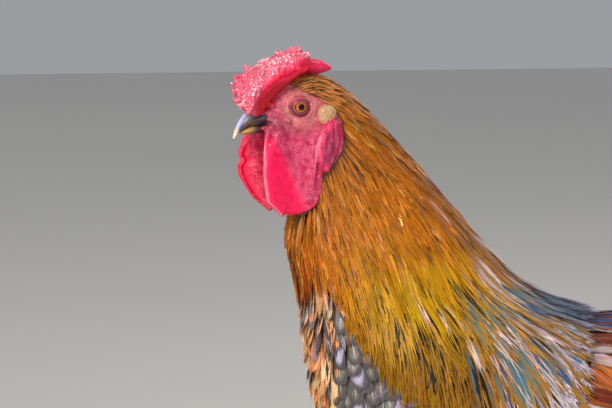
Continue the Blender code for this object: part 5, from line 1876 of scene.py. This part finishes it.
def ear_places(rng):
    """Roots in the unturned head's side view: thick over the ear, thin on brow and cheek."""
    places = []
    for _ in range(2600):
        a, r = rng.uniform(0, 2 * math.pi), math.sqrt(rng.random())
        places.append((17.6 + 6.0 * r * math.cos(a) + 1.6 * r * math.sin(a), 548.6 + 6.8 * r * math.sin(a)))
    places += [(rng.uniform(-14, 4), 567 + rng.normal(0, 3.0)) for _ in range(220)]
    return places + [(rng.uniform(-20, -9), rng.uniform(540, 556)) for _ in range(70)]


def lay_bristles():
    """Short stiff bristles: the pale tuft over each ear and the sparse ones over the brow and lores."""
    tufts, rng, s = Coat(), np.random.default_rng(131), row_shares(BRISTLE)
    back = turned_way((1.0, 0, -0.28), HEAD_TURN)
    for side, word in SIDES:
        tree, _ = tree_of((f"ear_{word}", "head"))
        rows = []
        for x, z in ear_places(rng):
            start = world(turned((x, side * 40, z), HEAD_TURN))
            hit, out, _, _ = tree.ray_cast(Vector(start), Vector(turned_way((0, -side, 0), HEAD_TURN)), 0.04)
            if hit is not None:
                rows.append((*hit, *out, x, z))
        rows = np.array(rows)
        root, normal, (x, z) = rows[:, :3], rows[:, 3:6], rows[:, 6:].T
        count, ear = len(rows), (x > 9) & (z < 560)
        flow = unit(back + rng.normal(0, 0.34, (count, 3)) * np.where(ear, 0.5, 1.0)[:, None])
        length = np.where(ear, rng.uniform(1.2, 2.0, count), rng.uniform(2.5, 6.0, count))[:, None, None]
        flat = flow - normal * (flow * normal).sum(1, keepdims=True)
        way, bend = unit(flat + normal * np.where(ear, 0.05, 0.20)[:, None]), unit(flat)
        curve = way[:, None] * s[:, None] + bend[:, None] * 0.35 * s[:, None] * s[:, None]
        paths = lift_paths(root[:, None] - normal[:, None] * 0.4 * MM + curve * length * MM,
                           np.repeat(normal[:, None], len(s), 1), s, np.zeros(count), np.zeros(count))
        cream = paler(rng.random(count), (0.58, 0.33, 0.14), (0.72, 0.41, 0.18), (0.84, 0.52, 0.26))
        orange = paler(rng.random(count), (0.50, 0.16, 0.04), (0.55, 0.25, 0.12), (0.16, 0.05, 0.03))
        bake = np.stack([0.75 + x * 0.001 + (0.1 if side > 0 else 0.0), 0.49 + (z - 550) * 0.0004], -1)
        looks = (picked(ear, cream, orange), np.broadcast_to((0.1, 0.05, 0.03), (count, 3)),
                 form_of(0, 0, rng, count), bake)
        lay_feathers(tufts, BRISTLE, paths, s, np.where(ear, 0.26, 0.16), looks, rng, 0.3)
    return tufts


# ================================================================ the stage
CAMERA_AZIMUTH = math.radians(-5.0)
CAMERA_ELEVATION = math.radians(9.0)
CAMERA_DISTANCE = 3.0
CAMERA_LENS = 259.5
CAMERA_SENSOR = 36.0
CAMERA_SEES = 30.0
AIM_ASIDE, AIM_BELOW_EYE = 2.9, 65.7
FLOOR_SIZE = 9.0
STUDIO_COLOUR, STUDIO_STRENGTH = (0.78, 0.80, 0.84), 0.42
# Lamps: name, place, size, power and colour.
LAMPS = (("key", (-1.5, -1.6, 2.2), 0.7, 62.0, (1.0, 0.95, 0.88)),
         ("fill", (-0.6, -2.6, 0.9), 1.8, 24.0, (0.90, 0.94, 1.0)),
         ("eye_light", (0.52, -1.86, 0.75), 0.14, 1.6, (1.0, 1.0, 1.0)),
         ("rim", (1.3, 1.5, 1.9), 0.9, 20.0, (1.0, 0.97, 0.92)))
LAMPS_AIM = (-0.15, 0.0, 0.42)


def make_camera():
    """Close on the head, neck and breast, from the bird's left and a little above."""
    a, e = CAMERA_AZIMUTH, CAMERA_ELEVATION
    back = np.array((math.sin(a) * math.cos(e), -math.cos(a) * math.cos(e), math.sin(e)))
    right = np.array((math.cos(a), math.sin(a), 0.0))
    up = np.cross(back, right)
    pupil = middle_of("eye_left") + np.array((math.sin(HEAD_TURN), -math.cos(HEAD_TURN), 0.0)) * EYE_RADIUS * MM
    target = pupil + right * AIM_ASIDE * MM - up * AIM_BELOW_EYE * MM
    bpy.ops.object.camera_add(location=tuple(target + back * CAMERA_DISTANCE))
    camera = bpy.context.object
    camera.name = "camera"
    camera.rotation_euler = Matrix((right, up, back)).transposed().to_euler()
    camera.data.sensor_width = CAMERA_SENSOR
    camera.data.lens = CAMERA_LENS
    camera.data.clip_end = CAMERA_SEES
    bpy.context.scene.camera = camera


def make_lights():
    for name, place, size, power, colour in LAMPS:
        bpy.ops.object.light_add(type="AREA", location=place)
        lamp = bpy.context.object
        lamp.name = name
        lamp.data.shape = "DISK"
        lamp.data.size = size
        lamp.data.energy = power * setting("light")
        lamp.data.color = colour
        lamp.rotation_euler = (Vector(LAMPS_AIM) - Vector(place)).to_track_quat("-Z", "Y").to_euler()
        lamp.visible_glossy = name != "fill"
    studio = bpy.data.worlds.new("studio")
    studio.use_nodes = True
    colour, strength = studio.node_tree.nodes["Background"].inputs[:2]
    colour.default_value = (*STUDIO_COLOUR, 1.0)
    strength.default_value = STUDIO_STRENGTH
    bpy.context.scene.world = studio


def make_floor():
    deselect()
    bpy.ops.mesh.primitive_plane_add(size=FLOOR_SIZE)
    floor = bpy.context.object
    floor.name = "floor"
    floor.data.materials.append(floor_finish())


# ================================================================ the add-on
def colour_setting(name, description, default):
    return FloatVectorProperty(name=name, description=description, subtype="COLOR", size=3, min=0.0, max=1.0,
                               default=default)


class RoosterSettings(bpy.types.PropertyGroup):
    """Sizes, amounts and colours that the operators read."""

    head_grain: FloatProperty(name="Head grain", description="Size of the faces of the head's skin, in millimetres",
                              default=0.68, min=0.4, max=3.0)
    body_grain: FloatProperty(name="Body grain", description="Size of the faces of the body's skin, in millimetres",
                              default=5.0, min=2.0, max=12.0)
    leg_grain: FloatProperty(name="Leg grain", description="Size of the faces of the legs' skin, in millimetres",
                             default=1.6, min=0.6, max=4.0)
    skin_depth: FloatProperty(name="Skin depth", description="How far the skin lies under the coat, in millimetres",
                              default=7.5, min=0.0, max=15.0)
    density: FloatProperty(name="Density", description="How closely feathers are set: 1 is a full coat",
                           default=1.0, min=0.2, max=1.5)
    light: FloatProperty(name="Light", description="Strength of the studio lights", default=1.0, min=0.0, max=5.0)
    comb_red: colour_setting("Comb red", "Smooth lower rim of the comb", (1.0, 0.010, 0.075))
    # Near-white pink laid on the comb's raised tips as a painted highlight.
    comb_highlight_pink: colour_setting("Comb pink", "Tips of the pebbles on the comb", (1.0, 0.74, 0.80))
    wattle_pink: colour_setting("Wattle pink", "Smooth patch of each wattle", (0.94, 0.002, 0.085))
    face_pink: colour_setting("Face pink", "Bare skin round the eye", (0.62, 0.15, 0.155))
    hackle_rust: colour_setting("Hackle rust", "Front of the neck", (0.36, 0.060, 0.004))
    hackle_orange: colour_setting("Hackle orange", "Upper neck", (0.46, 0.15, 0.004))
    hackle_gold: colour_setting("Hackle gold", "Middle of the neck", (0.51, 0.265, 0.002))
    hackle_teal: colour_setting("Hackle teal", "Middles of the long hackles", (0.065, 0.160, 0.205))
    breast_grey: colour_setting("Breast grey", "Rounded feathers of breast and sides", (0.185, 0.165, 0.145))
    bib_cream: colour_setting("Bib cream", "Streaks down the middle of the breast", (0.84, 0.44, 0.20))
    saddle_orange: colour_setting("Saddle orange", "Long feathers of the rump", (0.48, 0.15, 0.010))
    back_rust: colour_setting("Back rust", "Feathers of the back", (0.50, 0.12, 0.024))
    bow_rust: colour_setting("Wing bow rust", "Upper part of the folded wing", (0.30, 0.052, 0.012))
    bar_blue: colour_setting("Wing bar", "Dark rows across the folded wing", (0.010, 0.015, 0.026))
    flight_bay: colour_setting("Flight bay", "Edges of the flight feathers", (0.36, 0.12, 0.030))
    tail_green: colour_setting("Tail green", "Tail, sickles and coverts", (0.014, 0.020, 0.018))


def setting(name):
    return getattr(bpy.context.scene.rooster, name)


def tint(name):
    """One of the settings' colours."""
    return tuple(setting(name))


MOST_TRIANGLES = 200_000


def place(piece, slot, *nodes):
    """Gives a finished piece its body and hides the CAD nodes that it stands for; slot is not used."""
    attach(piece, "root")
    if nodes:
        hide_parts(*nodes)


def place_coat(coat, name, finish, slot, *nodes):
    if coat.face_count() >= MOST_TRIANGLES:
        raise RuntimeError(f"{name} has {coat.face_count()} triangles")
    place(coat.build(name, finish), slot, *nodes)
    print(f"{name}: {coat.face_count()} triangles")


class ROOSTER_OT_skin(bpy.types.Operator):
    """Makes one skin with face, comb, lobes, wattles and legs, under the coat's depth"""

    bl_idname = "rooster.skin"
    bl_label = "Skin"

    def execute(self, context):
        sides = [f"{part}_{word}" for part in ("wattle", "earlobe", "wing", "thigh", "shank") for _, word in SIDES]
        place(make_skin(), "flesh", "comb", "head", "neck", "trunk", *sides, *FOOT_NODES)
        return {"FINISHED"}


class ROOSTER_OT_eyes(bpy.types.Operator):
    """Makes both eyes with iris and pupil"""

    bl_idname = "rooster.eyes"
    bl_label = "Eyes"

    def execute(self, context):
        for side, word in SIDES:
            place(make_eye(side, word), "eye", f"eye_{word}")
        return {"FINISHED"}


class ROOSTER_OT_horn(bpy.types.Operator):
    """Makes the two halves of the beak, the claws, the spurs and the plates of the legs"""

    bl_idname = "rooster.horn"
    bl_label = "Beak, claws and scutes"

    def execute(self, context):
        for node in ("upper_beak", "lower_beak"):
            place(make_beak_part(node), "horn", node)
        for name, nodes, dark, pale in (("claws", CLAW_NODES, (0.16, 0.11, 0.08), (0.34, 0.25, 0.16)),
                                        ("spurs", SPUR_NODES, (0.42, 0.30, 0.16), (0.56, 0.43, 0.26))):
            place(make_horn(name, nodes, dark, pale), "horn", *nodes)
        place(make_scutes(), "scales")
        return {"FINISHED"}


class ROOSTER_OT_cape(bpy.types.Operator):
    """Lays the small feathers of the nape and the long ones of the neck"""

    bl_idname = "rooster.cape"
    bl_label = "Nape and cape"

    def execute(self, context):
        finish = plumage("hackle", gloss=0.42)
        for side, word in SIDES:
            place_coat(lay_cape(side), f"cape_{word}", finish, "hackle")
            place_coat(lay_nape(side), f"nape_{word}", finish, "hackle")
        return {"FINISHED"}


class ROOSTER_OT_body_coat(bpy.types.Operator):
    """Lays the feathers of breast, back, saddle, fluff and thighs"""

    bl_idname = "rooster.body_coat"
    bl_label = "Body coat"

    def execute(self, context):
        breast, back = plumage("breast", gloss=0.7), plumage("back")
        saddle, fluff = plumage("saddle"), plumage("fluff", gloss=0.7)
        for side, word in SIDES:
            scales, bib = lay_breast(side)
            place_coat(scales, f"breast_{word}", breast, "breast")
            place_coat(bib, f"bib_{word}", breast, "breast")
            place_coat(lay_back(side), f"back_{word}", back, "hackle")
            place_coat(lay_saddle(side), f"saddle_{word}", saddle, "hackle")
            place_coat(lay_fluff(side), f"fluff_{word}", fluff, "fluff")
            place_coat(lay_thigh(side), f"thigh_coat_{word}", fluff, "fluff")
        return {"FINISHED"}


class ROOSTER_OT_wings(bpy.types.Operator):
    """Lays the coverts and flight feathers of both folded wings"""

    bl_idname = "rooster.wings"
    bl_label = "Wings"

    def execute(self, context):
        # The wing bar's second colour is its painted sheen.
        bow_finish, bar_finish = plumage("wing_bow"), plumage("wing_bar", (0.010, 0.026, 0.05), 0.42)
        flight_finish = plumage("flight", gloss=0.44)
        for side, word in SIDES:
            bow, bar = lay_wing(side)
            place_coat(bow, f"wing_bow_{word}", bow_finish, "wing")
            place_coat(bar, f"wing_bar_{word}", bar_finish, "wing")
            place_coat(lay_flights(side), f"flight_coat_{word}", flight_finish, "flight", f"flights_{word}")
        return {"FINISHED"}


class ROOSTER_OT_tail(bpy.types.Operator):
    """Lays the stiff tail, the sickles and the coverts over their roots"""

    bl_idname = "rooster.tail"
    bl_label = "Tail"

    def execute(self, context):
        # The second colour is the tail's painted sheen.
        finish = plumage("tail", (0.02, 0.10, 0.06), 0.42)
        for side, word in SIDES:
            fan, sickles = lay_tail(side)
            place_coat(fan, f"tail_feathers_{word}", finish, "tail", f"tail_{word}")
            curved = [f"{name}_{word}" for name in ("sickle", "lesser_sickle", "low_sickle", "hanger")]
            place_coat(sickles, f"sickle_feathers_{word}", finish, "tail", *curved)
            covered = ["tail_coverts"] if side == LEFT else []
            place_coat(lay_tail_coverts(side), f"covert_feathers_{word}", finish, "tail", *covered)
        return {"FINISHED"}


class ROOSTER_OT_bristles(bpy.types.Operator):
    """Sets the pale tufts over the ears and the sparse bristles of the face"""

    bl_idname = "rooster.bristles"
    bl_label = "Ear tufts"

    def execute(self, context):
        place_coat(lay_bristles(), "ear_tufts", plumage("bristle", gloss=0.6), "ear", "ear_left", "ear_right")
        return {"FINISHED"}


class ROOSTER_OT_stage(bpy.types.Operator):
    """Sets the floor, the soft lights and the camera"""

    bl_idname = "rooster.stage"
    bl_label = "Stage"

    def execute(self, context):
        context.scene.view_settings.view_transform = "Standard"
        make_floor()
        make_lights()
        make_camera()
        return {"FINISHED"}


OPERATORS = (ROOSTER_OT_skin, ROOSTER_OT_eyes, ROOSTER_OT_horn, ROOSTER_OT_cape, ROOSTER_OT_body_coat,
             ROOSTER_OT_wings, ROOSTER_OT_tail, ROOSTER_OT_bristles, ROOSTER_OT_stage)


class ROOSTER_PT_panel(bpy.types.Panel):
    """Lists the steps in their order"""

    bl_idname = "ROOSTER_PT_panel"
    bl_label = "Rooster"
    bl_space_type = "VIEW_3D"
    bl_region_type = "UI"
    bl_category = "Rooster"

    def draw(self, context):
        for name in RoosterSettings.__annotations__:
            self.layout.prop(context.scene.rooster, name)
        for operator in OPERATORS:
            self.layout.operator(operator.bl_idname)


CLASSES = (RoosterSettings, *OPERATORS, ROOSTER_PT_panel)


def register():
    for cls in CLASSES:
        bpy.utils.register_class(cls)
    bpy.types.Scene.rooster = PointerProperty(type=RoosterSettings)


def unregister():
    del bpy.types.Scene.rooster
    for cls in reversed(CLASSES):
        bpy.utils.unregister_class(cls)


def main():
    register()
    deselect()
    bpy.ops.rooster.skin()
    bpy.ops.rooster.eyes()
    bpy.ops.rooster.horn()
    bpy.ops.rooster.cape()
    bpy.ops.rooster.body_coat()
    bpy.ops.rooster.wings()
    bpy.ops.rooster.tail()
    bpy.ops.rooster.bristles()
    bpy.ops.rooster.stage()
    bpy.context.view_layer.update()


if __name__ == "__main__":
    main()
